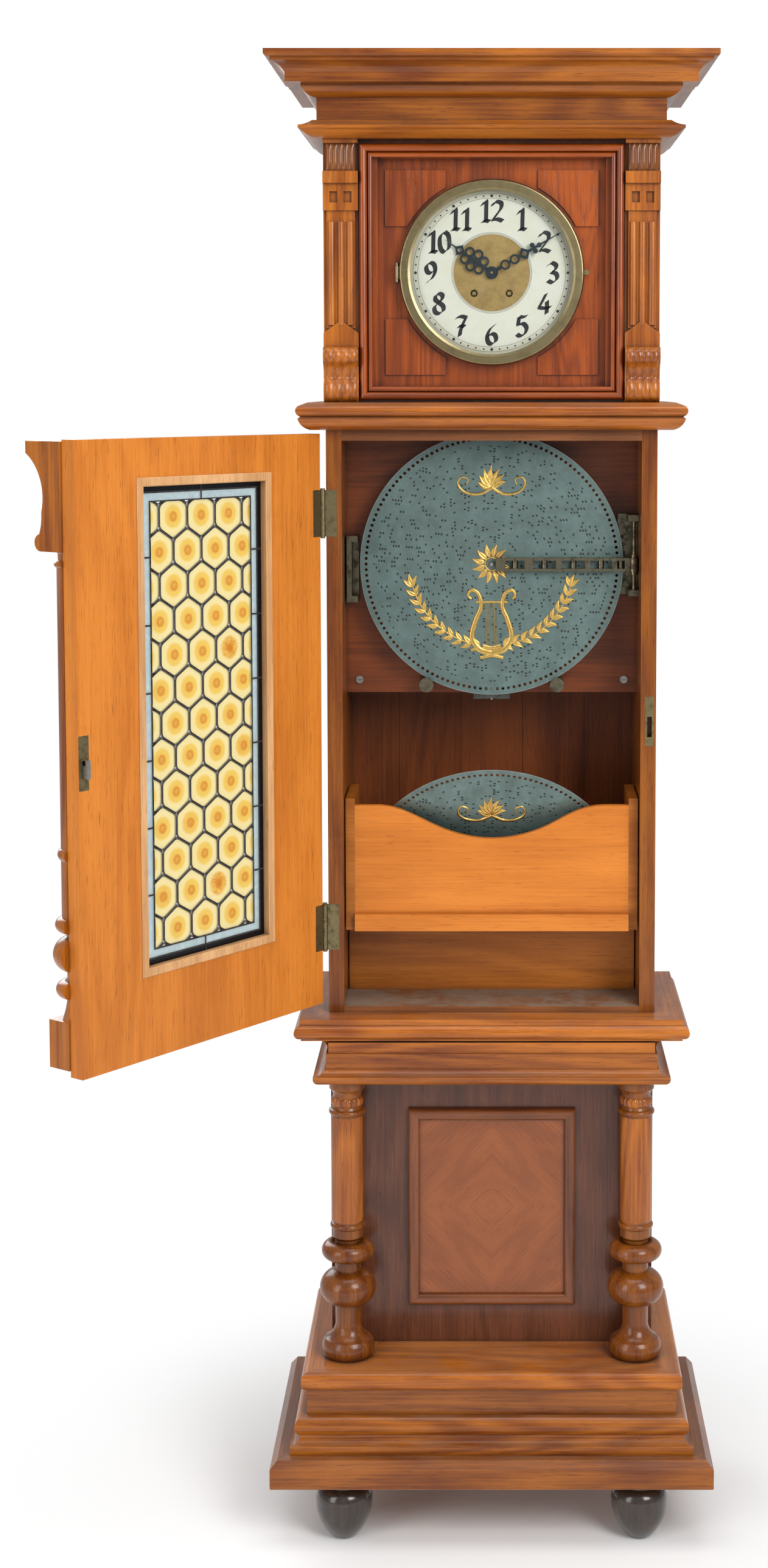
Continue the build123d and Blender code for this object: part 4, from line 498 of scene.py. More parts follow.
def roundel_glass(glass):
    """Amber glass that follows the honeycomb: a dark boss, a straw ring and a cream rim in each cell."""
    s = Shader("roundel_glass")
    flat = s.mapped(s.seat(), kind="TEXTURE", location=door_panel_place(), rotation=(0, 0, door_turn))
    x, y, z = s.parts(flat)
    pitch = glass.roundel_pitch
    rise = pitch * math.sqrt(3)
    near = []
    for shift_x, shift_z in ((0, 0), (pitch / 2, rise / 2)):
        dx = s.math("WRAP", s.math("SUBTRACT", x, shift_x), pitch / 2, -pitch / 2)
        dz = s.math("WRAP", s.math("SUBTRACT", z, shift_z), rise / 2, -rise / 2)
        distance = s.distance(dx, dz)
        centre = (s.math("SUBTRACT", x, dx), s.math("SUBTRACT", z, dz))
        near.append((distance, centre))
    (first, first_cell), (second, second_cell) = near
    radius = s.math("MINIMUM", first, second)
    nearer = s.math("LESS_THAN", second, first)
    cell = []
    for one, other in zip(first_cell, second_cell):
        chosen = s.math("MULTIPLY_ADD", s.math("SUBTRACT", other, one), nearer, one)
        cell.append(s.math("SNAP", s.math("ADD", chosen, 0.001), pitch / 8))
    chance = s.node("ShaderNodeTexWhiteNoise", {"Vector": s.joined(cell[0], 0.0, cell[1])}).outputs[0]
    deep = s.step(chance, 0.72, 1.0)
    middle = s.blend(deep, glass.straw, glass.amber)
    streaks = s.step(s.noise(flat, 160, 3, 0.6, 1.5), 0.35, 0.7)
    ring = s.blend(s.math("MULTIPLY", s.math("MULTIPLY", deep, 0.75), streaks), glass.straw, glass.amber)
    colour = s.blend(s.step(radius, 0.0115, 0.0165), ring, glass.cream)
    colour = s.blend(s.step(radius, 0.0075, 0.005), colour, middle_colour(glass))
    colour = s.blend(s.math("MULTIPLY", s.step(radius, 0.0045, 0.002), 0.5), colour, middle)
    triangles = s.math("GREATER_THAN", s.math("ABSOLUTE", cell[1]), 0.28)
    colour = s.blend(triangles, colour, (0.12, 0.006, 0.006))
    seeds = s.step(s.noise(flat, 900, 2), 0.7, 0.76)
    ripples = s.math("SINE", s.math("MULTIPLY", radius, 2 * math.pi / 0.0026))
    height = s.math("MULTIPLY_ADD", ripples, 0.3, seeds)
    see_through(s, colour, 0.42, Roughness=0.16, Coat_Weight=0.6, Coat_Roughness=0.05,
                Normal=s.bump(height, 0.0003, 0.35))
    return s.material


def clear_length(room, closing):
    """How far each ray runs until it meets the first wall, from the room before each wall."""
    return np.where(closing > 1e-6, room[:, None] / np.maximum(closing, 1e-6), np.inf).min(0)


def middle_colour(glass):
    """The colour of a roundel's boss, between straw and amber."""
    return tuple(0.6 * a + 0.4 * b for a, b in zip(glass.amber, glass.straw))


def strip_glass(glass):
    """Pale blue strips round the honeycomb, and near-black painted shade outside them."""
    s = Shader("strip_glass")
    flat = s.mapped(s.seat(), kind="TEXTURE", location=door_panel_place(), rotation=(0, 0, door_turn))
    x, y, z = s.parts(flat)
    half_width, half_height = 0.0985, 0.2795
    outside_x = s.math("GREATER_THAN", s.math("ABSOLUTE", x), half_width)
    outside_z = s.math("GREATER_THAN", s.math("ABSOLUTE", z), half_height)
    outside = s.math("MAXIMUM", outside_x, outside_z)
    waves = s.noise(flat, 60, 4, 0.6, 2.0)
    pale = s.blend(waves, tint(glass.pale_blue, 0.75), tint(glass.pale_blue, 1.25))
    # Painted shade: the strips outside the pale blue ones are near-black.
    colour = s.blend(outside, pale, (0.012, 0.016, 0.024))
    see_through(s, colour, 0.3, Roughness=0.14, Coat_Weight=0.5, Coat_Roughness=0.05,
                Normal=s.bump(waves, 0.0006, 0.4))
    return s.material


def window_glass():
    """Clear glass with faint waves and a trace of dust."""
    s = Shader("window_glass")
    seat = s.seat()
    waves = s.noise(seat, 14, 2)
    shine = s.node("ShaderNodeBsdfGlossy",
                   {"Roughness": 0.03, "Normal": s.bump(waves, 0.001, 0.08)}).outputs[0]
    clear = s.node("ShaderNodeBsdfTransparent", {"Color": (0.97, 0.98, 0.97, 1)}).outputs[0]
    haze = s.node("ShaderNodeBsdfDiffuse", {"Color": (0.7, 0.68, 0.62, 1)}).outputs[0]
    dusty = s.math("MULTIPLY", s.step(s.noise(seat, 45, 5, 0.7), 0.5, 0.85), 0.05)
    through = s.node("ShaderNodeMixShader", {0: dusty, 1: clear, 2: haze}).outputs[0]
    facing = s.node("ShaderNodeFresnel", {"IOR": 1.3}).outputs[0]
    mixed = s.node("ShaderNodeMixShader", {0: facing, 1: through, 2: shine}).outputs[0]
    s.tree.links.new(mixed, s.out.inputs[0])
    return s.material


def paint(name, colour, roughness=0.35):
    """Thin paint that is a little uneven."""
    s = Shader(name)
    uneven = s.noise(s.seat(), 700, 3)
    s.surface(Base_Color=s.blend(uneven, tint(colour, 0.7), tint(colour, 1.4)), Roughness=roughness,
              Normal=s.bump(uneven, 0.0001, 0.3))
    return s.material


def dress(material, *names):
    """Give CAD nodes a material."""
    for name in names:
        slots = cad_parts[name].material_slots
        for slot in slots:
            slot.material = material


def fit_mitre(name):
    """The half width and the front of a moulding that turns the case's front corners."""
    low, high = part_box(name)
    return high.x, low.y


def fit_frame(name):
    """The width, the height and the level of the middle of an upright frame."""
    low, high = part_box(name)
    return high.x - low.x, high.z - low.z, (high.z + low.z) / 2


# Pieces

class CLOCK_OT_woods(bpy.types.Operator):
    """Give every wooden part its board, with the grain along its length"""
    bl_idname = "clock.woods"
    bl_label = "Woods"

    def execute(self, context):
        woods = context.scene.clock_woods
        light, dark, varnish = tuple(woods.case_light), tuple(woods.case_dark), woods.varnish
        # Each part gets a lighter or darker copy of the case walnut, by a factor for how lit the part is:
        # painted light and shade.
        across = {"crown_cornice": 0.88, "architrave_moulding": 0.95, "hood_frieze": 0.8,
                  "hood_base_moulding": 1.05,
                  "waist_moulding": 1.15, "waist_frieze": 0.95, "plinth_top": 1.15, "plinth_box": 0.7,
                  "plinth_moulding": 0.9, "base_slab": 0.75}
        for place, (name, light_and_shade) in enumerate(across.items()):
            made = wood("walnut_" + name, tint(light, light_and_shade), tint(dark, light_and_shade), mitre=fit_mitre(name),
                        place=(place * 1.7, 0, place * 0.37), varnish=varnish, dust=0.25, worn=0.18)
            dress(made, name)
        # Painted light and shade again: the case sides and the columns get darker copies of the walnut.
        upright = {"case_sides": 0.65, "hood_pilasters": 1.05, "pedestal_columns": 0.62,
                   "pedestal_sides": 0.8}
        for place, (name, light_and_shade) in enumerate(upright.items()):
            made = wood("walnut_" + name, tint(light, light_and_shade), tint(dark, light_and_shade), varnish=varnish, worn=0.15,
                        place=(place * 0.9, 0.4, 0))
            dress(made, name)
        red_light, red_dark = (0.40, 0.080, 0.006), (0.16, 0.026, 0.002)
        dress(wood("walnut_dial", red_light, red_dark, place=(2.2, 0, 0), figure=1.5, varnish=0.7),
              "dial_board")
        dress(wood("walnut_hood", red_light, red_dark, place=(4.2, 0, 0), varnish=0.6), "hood_front_board")
        border = fit_frame("dial_frame_moulding")
        framed = wood("walnut_dial_frame", tint(red_light, 0.9), red_dark, border=border, varnish=0.7)
        dress(framed, "dial_frame_moulding")
        border = fit_frame("pedestal_panel_frame")
        framed = wood("walnut_panel_frame", (0.22, 0.062, 0.014), (0.09, 0.022, 0.005), border=border,
                      varnish=0.7)
        dress(framed, "pedestal_panel_frame")
        dress(wood("walnut_pedestal", (0.165, 0.054, 0.024), (0.07, 0.02, 0.008), varnish=0.55, figure=0.8),
              "pedestal_front_board")
        dress(wood("matched_veneer", (0.31, 0.088, 0.022), (0.21, 0.056, 0.013), quarters=border[2],
                   varnish=0.55, figure=0.9), "pedestal_veneer_panel")
        door_light, door_dark = tuple(woods.door_light), tuple(woods.door_dark)
        dress(wood("door_inside", door_light, door_dark, turn=door_turn, roughness=0.42, varnish=0.15,
                   figure=0.6, place=(7, 0, 0), worn=0.1), "door_frame")
        dress(wood("door_outside", light, dark, turn=door_turn, varnish=varnish, place=(3, 0, 0)),
              "door_columns")
        dress(wood("bead", (0.72, 0.42, 0.2), (0.5, 0.24, 0.09), turn=door_turn, roughness=0.45, varnish=0.1),
              "door_bead")
        dress(wood("rack_board", door_light, door_dark, grain="x", roughness=0.42, varnish=0.15, figure=0.6,
                   place=(1, 3, 0)), "rack_front_board")
        # The rack's frame gets a darker copy of the rack board's wood: painted shade deeper inside the case.
        dress(wood("rack_back", tint(door_light, 0.7), tint(door_dark, 0.6), grain="x", roughness=0.45,
                   varnish=0.1, place=(2, 3, 0)), "rack_frame")
        dress(wood("mounting_board", (0.21, 0.045, 0.006), (0.08, 0.016, 0.002), grain="x", roughness=0.35,
                   varnish=0.35, place=(2, 5, 0)), "music_board")
        dress(wood("back_planks", (0.22, 0.052, 0.008), (0.1, 0.021, 0.003), roughness=0.5, varnish=0.08,
                   place=(9, 0, 0)), "back_boards")
        dress(wood("shelf_boards", (0.28, 0.1, 0.03), (0.13, 0.042, 0.012), grain="x", roughness=0.5,
                   varnish=0.1, dust=0.8), "case_shelves")
        dress(wood("ebonised", (0.05, 0.034, 0.024), (0.018, 0.012, 0.009), roughness=0.2, varnish=1.0,
                   worn=0.25), "bun_feet")
        tongue_wood = wood("tongue_wood", (0.12, 0.036, 0.008), (0.06, 0.017, 0.004), roughness=0.6,
                           varnish=0.0)
        case_half, gap, plank_middle = 0.2125, 0.0004, 0.159
        plank_width = (2 * case_half - 4 * gap) / 5
        tongue_half = (0.0006, 0.001)
        tongues = []
        for joint in range(1, 5):
            middle = joint * (plank_width + gap) - gap / 2 - case_half
            corners = np.array([(-1, -1), (1, -1), (1, 1), (-1, 1)]) * tongue_half
            corners = corners + (middle, plank_middle)
            levels = np.array([0.221, 1.849])[:, None] * np.ones(4)
            tongues.append(np.stack([np.stack([corners[:, 0]] * 2), np.stack([corners[:, 1]] * 2), levels],
                                    axis=-1))
        piece("plank_tongues", tongues, tongue_wood, "case", wrap=True)
        return {"FINISHED"}


class CLOCK_OT_metals(bpy.types.Operator):
    """Finish the brass, steel, iron and nickel parts"""
    bl_idname = "clock.metals"
    bl_label = "Metals"

    def execute(self, context):
        dial = (0, 0, dial_level)
        gold, bronze = (0.56, 0.38, 0.15), (0.26, 0.17, 0.07)
        dress(turned_metal("dial_brass", gold, bronze, dial), "dial_brasswork")
        dress(turned_metal("bezel_brass", (0.28, 0.23, 0.12), (0.15, 0.115, 0.05), dial, 0.22), "bezel")
        dress(metal("movement_brass", (0.62, 0.45, 0.2), (0.34, 0.22, 0.09), 0.25, brushed="x"),
              "movement_frame", "time_barrel", "strike_barrel", "motion_wheel", "pendulum")
        dress(metal("blued_steel", (0.05, 0.07, 0.085), (0.02, 0.024, 0.028), 0.32, patina=0.4),
              "minute_hand", "hour_hand")
        dress(metal("old_steel", (0.42, 0.42, 0.4), (0.2, 0.17, 0.13), 0.3, brushed="x"),
              "gong_rods", "board_screws", "steel_combs", "disc_spindle", "star_wheels", "drive_sprocket",
              "lock_bolt")
        dress(metal("iron_plate", (0.12, 0.12, 0.11), (0.05, 0.045, 0.04), 0.45, pitting=0.6),
              "bedplate", "spring_motor")
        dress(metal("bar_metal", (0.2, 0.18, 0.12), (0.035, 0.032, 0.024), 0.3, patina=0.9, grain_scale=110),
              "bar_hinge_bracket", "disc_guides", "pressure_bar")
        dress(metal("old_brass", (0.26, 0.21, 0.11), (0.09, 0.075, 0.04), 0.36, patina=0.9, grain_scale=150),
              "case_door_fittings", "door_hinge_leaves", "door_lock")
        dress(metal("lead", (0.1, 0.1, 0.1), (0.045, 0.04, 0.04), 0.5, patina=0.7, grain_scale=200),
              "glass_leading")
        return {"FINISHED"}


# Each numeral is one or more pen strokes through points of a box one unit high
pen_strokes = {
    "0": [[(0.30, 1), (0.10, 0.8), (0.06, 0.5), (0.12, 0.16), (0.30, 0), (0.50, 0.2), (0.54, 0.5),
           (0.48, 0.84),
           (0.30, 1)]],
    "1": [[(0.08, 0.76), (0.30, 1), (0.31, 0.52), (0.30, 0)], [(0.12, 0.0), (0.30, 0.04), (0.48, 0.0)]],
    "2": [[(0.05, 0.76), (0.20, 0.97), (0.48, 0.90), (0.48, 0.64), (0.28, 0.36), (0.06, 0.06)],
          [(0.06, 0.06), (0.28, 0.12), (0.56, 0.02)]],
    "3": [[(0.06, 0.86), (0.26, 0.99), (0.48, 0.84), (0.40, 0.62), (0.22, 0.53)],
          [(0.22, 0.53), (0.46, 0.46), (0.52, 0.22), (0.30, 0.02), (0.06, 0.12)]],
    "4": [[(0.38, 0.98), (0.20, 0.62), (0.02, 0.30)], [(0.02, 0.30), (0.30, 0.27), (0.60, 0.32)],
          [(0.42, 0.62), (0.42, 0.30), (0.40, 0)]],
    "5": [[(0.16, 0.96), (0.12, 0.72), (0.10, 0.54)], [(0.16, 0.96), (0.34, 0.93), (0.54, 0.99)],
          [(0.10, 0.54), (0.34, 0.62), (0.52, 0.40), (0.42, 0.10), (0.20, 0), (0.04, 0.10)]],
    "6": [[(0.48, 0.96), (0.24, 0.78), (0.08, 0.44), (0.12, 0.12), (0.32, 0), (0.52, 0.18), (0.46, 0.46),
           (0.26, 0.52), (0.10, 0.36)]],
    "7": [[(0.04, 0.88), (0.26, 0.97), (0.54, 0.92)], [(0.54, 0.92), (0.38, 0.60), (0.27, 0.30), (0.22, 0)],
          [(0.14, 0.46), (0.30, 0.5), (0.48, 0.47)]],
    "8": [[(0.30, 0.54), (0.12, 0.70), (0.16, 0.92), (0.32, 0.99), (0.48, 0.88), (0.44, 0.68), (0.30, 0.54)],
          [(0.30, 0.54), (0.08, 0.34), (0.12, 0.08), (0.32, 0), (0.52, 0.14), (0.50, 0.38), (0.30, 0.54)]],
    "9": [[(0.12, 0.04), (0.36, 0.22), (0.52, 0.56), (0.48, 0.88), (0.28, 1), (0.08, 0.82), (0.14, 0.54),
           (0.34, 0.48), (0.50, 0.64)]],
}


def pen_line(points, corner, size, nib):
    """A flat stroke: every point of the path is widened along the slant of the nib, and a little
    across the path, so that it is broad on one slant and thin on the other."""
    path = smooth_path(points, 22) * size + corner
    half = path_normals(path) * 0.00045
    slant = np.array(nib) / 2
    turned = np.where((half @ slant)[:, None] < 0, -1, 1)
    side = slant + half * turned
    return np.stack([path - side, path + side], axis=1)


class CLOCK_OT_dial(bpy.types.Operator):
    """Draw the numerals and the minute dots, and finish the enamel and its glass"""
    bl_idname = "clock.dial"
    bl_label = "Dial"

    def execute(self, context):
        dial = context.scene.clock_dial
        dress(enamel(), "chapter_ring")
        dress(window_glass(), "bezel_glass")
        nib = (dial.nib_width * math.cos(dial.nib_angle), dial.nib_width * math.sin(dial.nib_angle))
        size = dial.numeral_height
        strokes = []
        for hour in range(1, 13):
            turn = math.radians(30 * hour)
            centre = dial.numeral_circle * np.array([math.sin(turn), math.cos(turn)])
            digits = str(hour)
            for place, digit in enumerate(digits):
                shift = (place - (len(digits) - 1) / 2) * 0.56 - 0.3
                corner = centre + size * np.array([shift, -0.5])
                strokes += [on_dial(pen_line(stroke, corner, size, nib), 0.00012 + 0.00001 * len(strokes))
                            for stroke in pen_strokes[digit]]
        black = paint("numeral_paint", (0.012, 0.014, 0.018))
        piece("dial_numerals", strokes, black, "case")
        dots = []
        for minute in range(60):
            turn = math.radians(6 * minute)
            centre = dial.minute_circle * np.array([math.sin(turn), math.cos(turn)])
            radius = 0.0011 if minute % 5 else 0.0019
            spin = np.linspace(0, 2 * math.pi, 13)
            rings = np.array([0.02, 1.0])[:, None]
            flat = centre + radius * np.stack([rings * np.cos(spin), rings * np.sin(spin)], axis=-1)
            dots.append(on_dial(flat, 0.00015))
        piece("minute_dots", dots, black, "case")
        spin = np.linspace(0, 2 * math.pi, 181)
        circles = []
        for radius in (0.0500, 0.0513, 0.0945, 0.1005):
            rings = np.array([radius - 0.00018, radius + 0.00018])[:, None]
            flat = np.stack([rings * np.cos(spin), rings * np.sin(spin)], axis=-1)
            circles.append(on_dial(flat, 0.0001))
        piece("dial_circles", circles, black, "case")
        return {"FINISHED"}


class CLOCK_OT_glass(bpy.types.Operator):
    """Blow the roundels, round the lead cames and solder their joints"""
    bl_idname = "clock.glass"
    bl_label = "Leaded glass"

    def execute(self, context):
        glass = context.scene.clock_glass
        dress(strip_glass(glass), "border_glass")
        pitch = glass.roundel_pitch
        rise = pitch * math.sqrt(3) / 2
        apothem = (pitch - 0.003) / 2
        limit = np.array([0.087, 0.268])
        turn = np.radians(np.arange(6) * 60)
        sides = np.stack([np.cos(turn), np.sin(turn)], axis=1)
        walls = np.vstack([sides, [(1, 0), (-1, 0), (0, 1), (0, -1)]])
        spin = np.linspace(0, 2 * math.pi, 37)[:-1]
        rays = np.stack([np.cos(spin), np.sin(spin)], axis=1)
        reach = np.concatenate([np.linspace(0, 1, 14), np.linspace(1, 0, 11)])
        back = np.concatenate([np.zeros(14), np.ones(11)])
        front_w, thickness, came_half, came_rise = 0.00875, 0.002, 0.0015, 0.0007
        lead_faces = ((0.00825, -1), (0.01125, 1))
        cells, cames, corners = [], [], []
        for row in range(-1, 14):
            count = 5 - row % 2
            for column in range(count):
                centre = np.array([(column - (count - 1) / 2) * pitch, (row - 6) * rise])
                distances = np.concatenate([sides @ centre + apothem, [limit[0]] * 2, [limit[1]] * 2])
                inner = np.clip(centre, -limit + came_half, limit - came_half)
                toward = centre - inner
                if np.linalg.norm(toward) > 0:
                    edge = inner + toward / np.linalg.norm(toward) * -came_half
                    inner = np.clip(edge, -limit + 0.001, limit - 0.001)
                room = distances - walls @ inner
                if room.min() <= 0.0002:
                    continue
                closing = walls @ rays.T
                length = clear_length(room, closing)
                wide_room = room + np.array([came_half] * 6 + [0.0] * 4)
                wide = clear_length(wide_room, closing)
                flat = inner + reach[:, None, None] * (length[:, None] * rays)[None]
                away = np.linalg.norm(flat - centre, axis=-1)
                dome = glass.boss_height * np.exp(-((away / 0.0036) ** 2))
                dome += 0.0003 * (1 + np.cos(away * 2 * math.pi / 0.0052)) * np.exp(-away / 0.02)
                dome *= np.clip((1 - reach[:, None]) / 0.12, 0, 1)
                depth = np.where(back[:, None] > 0, front_w + thickness + 0.6 * dome, front_w - dome)
                cells.append(on_door(glass_u + flat[..., 0], depth, glass_level + flat[..., 1]))
                bend = np.linspace(0, 1, 5)[:, None]
                ring = inner + (length + (wide - length) * bend)[..., None] * rays[None]
                height = came_rise * np.sin(bend * math.pi / 2) * np.ones(len(spin))
                for face, way in lead_faces:
                    cames.append(on_door(glass_u + ring[..., 0], face + way * height,
                                         glass_level + ring[..., 1]))
                corner_turn = np.radians(30 + np.arange(6) * 60)
                tips = centre + pitch / math.sqrt(3) * np.stack([np.cos(corner_turn), np.sin(corner_turn)],
                                                                axis=1)
                corners.append(tips[(np.abs(tips) < limit - 0.002).all(axis=1)])
        blown = piece("blown_roundels", cells, roundel_glass(glass), "door", wrap=True)
        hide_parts("glass_roundels")
        came_lead = metal("came_lead", (0.085, 0.085, 0.09), (0.035, 0.032, 0.032), 0.42, patina=0.6,
                          grain_scale=220)
        piece("rounded_cames", cames, came_lead, "door", wrap=True)
        tips = np.unique(np.round(np.vstack(corners), 5), axis=0)
        radius = np.linspace(0, 1, 5)[:, None]
        solder_radius, solder_rise = 0.0031, 0.0011
        dots = []
        for x, z in tips:
            flat = solder_radius * radius[..., None] * rays[None, ::3]
            height = solder_rise * np.sqrt(1 - radius**2) * np.ones(12)
            for face, way in lead_faces:
                grid = on_door(glass_u + x + flat[..., 0], face + way * height,
                               glass_level + z + flat[..., 1])
                dots.append(grid)
        solder = metal("solder", (0.2, 0.2, 0.2), (0.09, 0.085, 0.08), 0.34, patina=0.5, grain_scale=300)
        piece("solder_joints", dots, solder, "door", wrap=True)
        return {"FINISHED"}


def leaf(root, angle, length, width, height):
    """A pointed leaf: its half width is a sine of the way along it, and its two halves rise to a
    ridge on each side of a sunk midrib."""
    t = np.linspace(0, 1, 11)
    side = np.linspace(-1, 1, 9)
    direction = np.array([math.cos(angle), math.sin(angle)])
    across = np.array([-direction[1], direction[0]])
    half = width * np.sin(np.pi * t**0.75) ** 0.9
    bow = 0.08 * length * np.sin(np.pi * t)
    middle = np.asarray(root) + t[:, None] * length * direction + bow[:, None] * across
    flat = middle[:, None] + (side[None] * half[:, None])[..., None] * across
    fold = np.sin(np.pi * np.abs(side)) + 0.25 * (1 - np.abs(side))
    rise = height * fold[None] * np.sin(np.pi * t)[:, None] ** 0.5
    return flat, rise


def laurel(radius, start, end, leaves, height):
    """A laurel branch along an arc about the centre, with its leaves in pairs."""
    made = []
    turn = np.radians(np.linspace(start, end, 60))
    stem = radius * np.stack([np.cos(turn), np.sin(turn)], axis=1)
    made.append(ridge(stem, 0.0009, height))
    way = 1 if end > start else -1
    for angle in np.radians(np.linspace(start, end, leaves)):
        root = radius * np.array([math.cos(angle), math.sin(angle)])
        heading = angle + way * math.pi / 2
        for lean in (-0.62, 0.62):
            made.append(leaf(root, heading + lean, 0.0155, 0.0034, height * 1.4))
    made.append(leaf(stem[-1], math.radians(end) + way * math.pi / 2, 0.018, 0.0036, height * 1.4))
    return made


def lyre(height):
    """A lyre: two bowed arms that curl out at the top, a bar, five strings, a sound box and a foot."""
    made = []
    for side in (-1, 1):
        arm = [(0.0, -0.118), (0.017, -0.112), (0.026, -0.096), (0.021, -0.074), (0.014, -0.056),
               (0.017, -0.040), (0.026, -0.034), (0.031, -0.041), (0.027, -0.046)]
        path = smooth_path(np.array(arm) * (side, 1), 60)
        made.append(ridge(path, np.linspace(0.0042, 0.0018, 60), height * 2))
    bar = np.array([(-0.021, -0.050), (0.021, -0.050)])
    made.append(ridge(smooth_path(bar, 6), 0.0016, height * 1.8))
    for string in (-0.008, -0.004, 0.0, 0.004, 0.008):
        line = np.array([(string, -0.049), (string * 0.8, -0.108)])
        made.append(ridge(smooth_path(line, 6), 0.00045, height * 1.2, 5))
    made.append(ridge(smooth_path(np.array([(-0.012, -0.108), (0, -0.111), (0.012, -0.108)]), 12), 0.0028,
                      height * 2))
    made.append(ridge(smooth_path(np.array([(-0.015, -0.124), (0, -0.121), (0.015, -0.124)]), 12), 0.0024,
                      height * 2))
    return made


def disc_ornament(radius, height):
    """The gilt ornament: a rosette, a lyre, two laurel branches and a palmette."""
    made = []
    for petal in range(12):
        angle = math.radians(30 * petal + 15)
        root = 0.009 * np.array([math.cos(angle), math.sin(angle)])
        made.append(leaf(root, angle, 0.0175, 0.0038, height * 1.5))
    ring = 0.0085 * np.stack([np.cos(np.linspace(0, 6.2832, 49)), np.sin(np.linspace(0, 6.2832, 49))], axis=1)
    made.append(ridge(ring, 0.0012, height * 1.6))
    made += laurel(radius, 262, 196, 11, height)
    made += laurel(radius, 278, 344, 11, height)
    for spread in (-66, -44, -22, 0, 22, 44, 66):
        angle = math.radians(90 + spread)
        size = 0.030 - 0.00014 * abs(spread)
        made.append(leaf((0.0, 0.100), angle, size, 0.0040, height * 1.5))
    for side in (-1, 1):
        curl = [(0.0, 0.100), (0.016, 0.092), (0.034, 0.094), (0.044, 0.104), (0.040, 0.114), (0.031, 0.111),
                (0.033, 0.104)]
        path = smooth_path(np.array(curl) * (side, 1), 50)
        made.append(ridge(path, np.linspace(0.0022, 0.0008, 50), height * 1.5))
    return made + lyre(height)


class CLOCK_OT_discs(bpy.types.Operator):
    """Finish the two zinc discs and lay their gilt ornament on them"""
    bl_idname = "clock.discs"
    bl_label = "Discs"

    def execute(self, context):
        disc = context.scene.clock_disc
        colour = tuple(disc.zinc)
        dress(zinc("zinc_disc", colour, (0, disc_face, disc_level)), "music_disc")
        low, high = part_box("spare_disc")
        middle = tuple((low + high) / 2)
        dress(zinc("zinc_spare", tint(colour, 1.1), middle, spare_lean), "spare_disc")
        gilt = metal("gilt", (0.72, 0.48, 0.14), (0.26, 0.17, 0.05), 0.3, patina=0.55, grain_scale=240)
        ornament = disc_ornament(disc.wreath_radius, disc.relief)
        playing = [on_disc(flat, height + 0.00008) for flat, height in ornament]
        piece("disc_ornament", playing, gilt, "music_disc")
        waiting = [on_spare(flat, height + 0.00008) for flat, height in ornament]
        piece("spare_ornament", waiting, gilt, "spare_disc")
        return {"FINISHED"}


def reeded(outline, across, ribs, rise):
    """Ribs along an outline: outline points plus their normals times a rounded rib height.
    Gives distance out, place across and level, each a grid."""
    normal = -path_normals(outline)
    side = np.linspace(0, 1, ribs * 8 + 1)
    rib = 0.00012 + rise * np.abs(np.sin(math.pi * ribs * side)) ** 0.7
    fade = np.clip(np.minimum(np.arange(len(outline)), np.arange(len(outline))[::-1]) / 2.5, 0, 1)
    lift = 0.00012 + (rib[None] - 0.00012) * fade[:, None]
    out = outline[:, 0][:, None] + normal[:, 0][:, None] * lift
    level = outline[:, 1][:, None] + normal[:, 1][:, None] * lift
    place = np.broadcast_to(across[0] + (across[1] - across[0]) * side, out.shape)
    return out, place, level


def facets(radius, z_low, z_high, sides=8):
    """A prism with rounded corners round a turned shaft, as radii over turn and level."""
    spin = np.linspace(0, 2 * math.pi, sides * 12 + 1)[:-1]
    within = (spin + math.pi / sides) % (2 * math.pi / sides) - math.pi / sides
    flat = np.minimum((radius + 0.0001) / np.cos(within), radius * 1.065)
    levels = np.array([z_low, z_low + 0.004, z_high - 0.004, z_high])
    blend = np.array([0.0, 1.0, 1.0, 0.0])[:, None]
    reach = radius + 0.0001 + (flat[None] - radius - 0.0001) * blend
    return reach * np.cos(spin), reach * np.sin(spin), np.broadcast_to(levels[:, None], reach.shape)


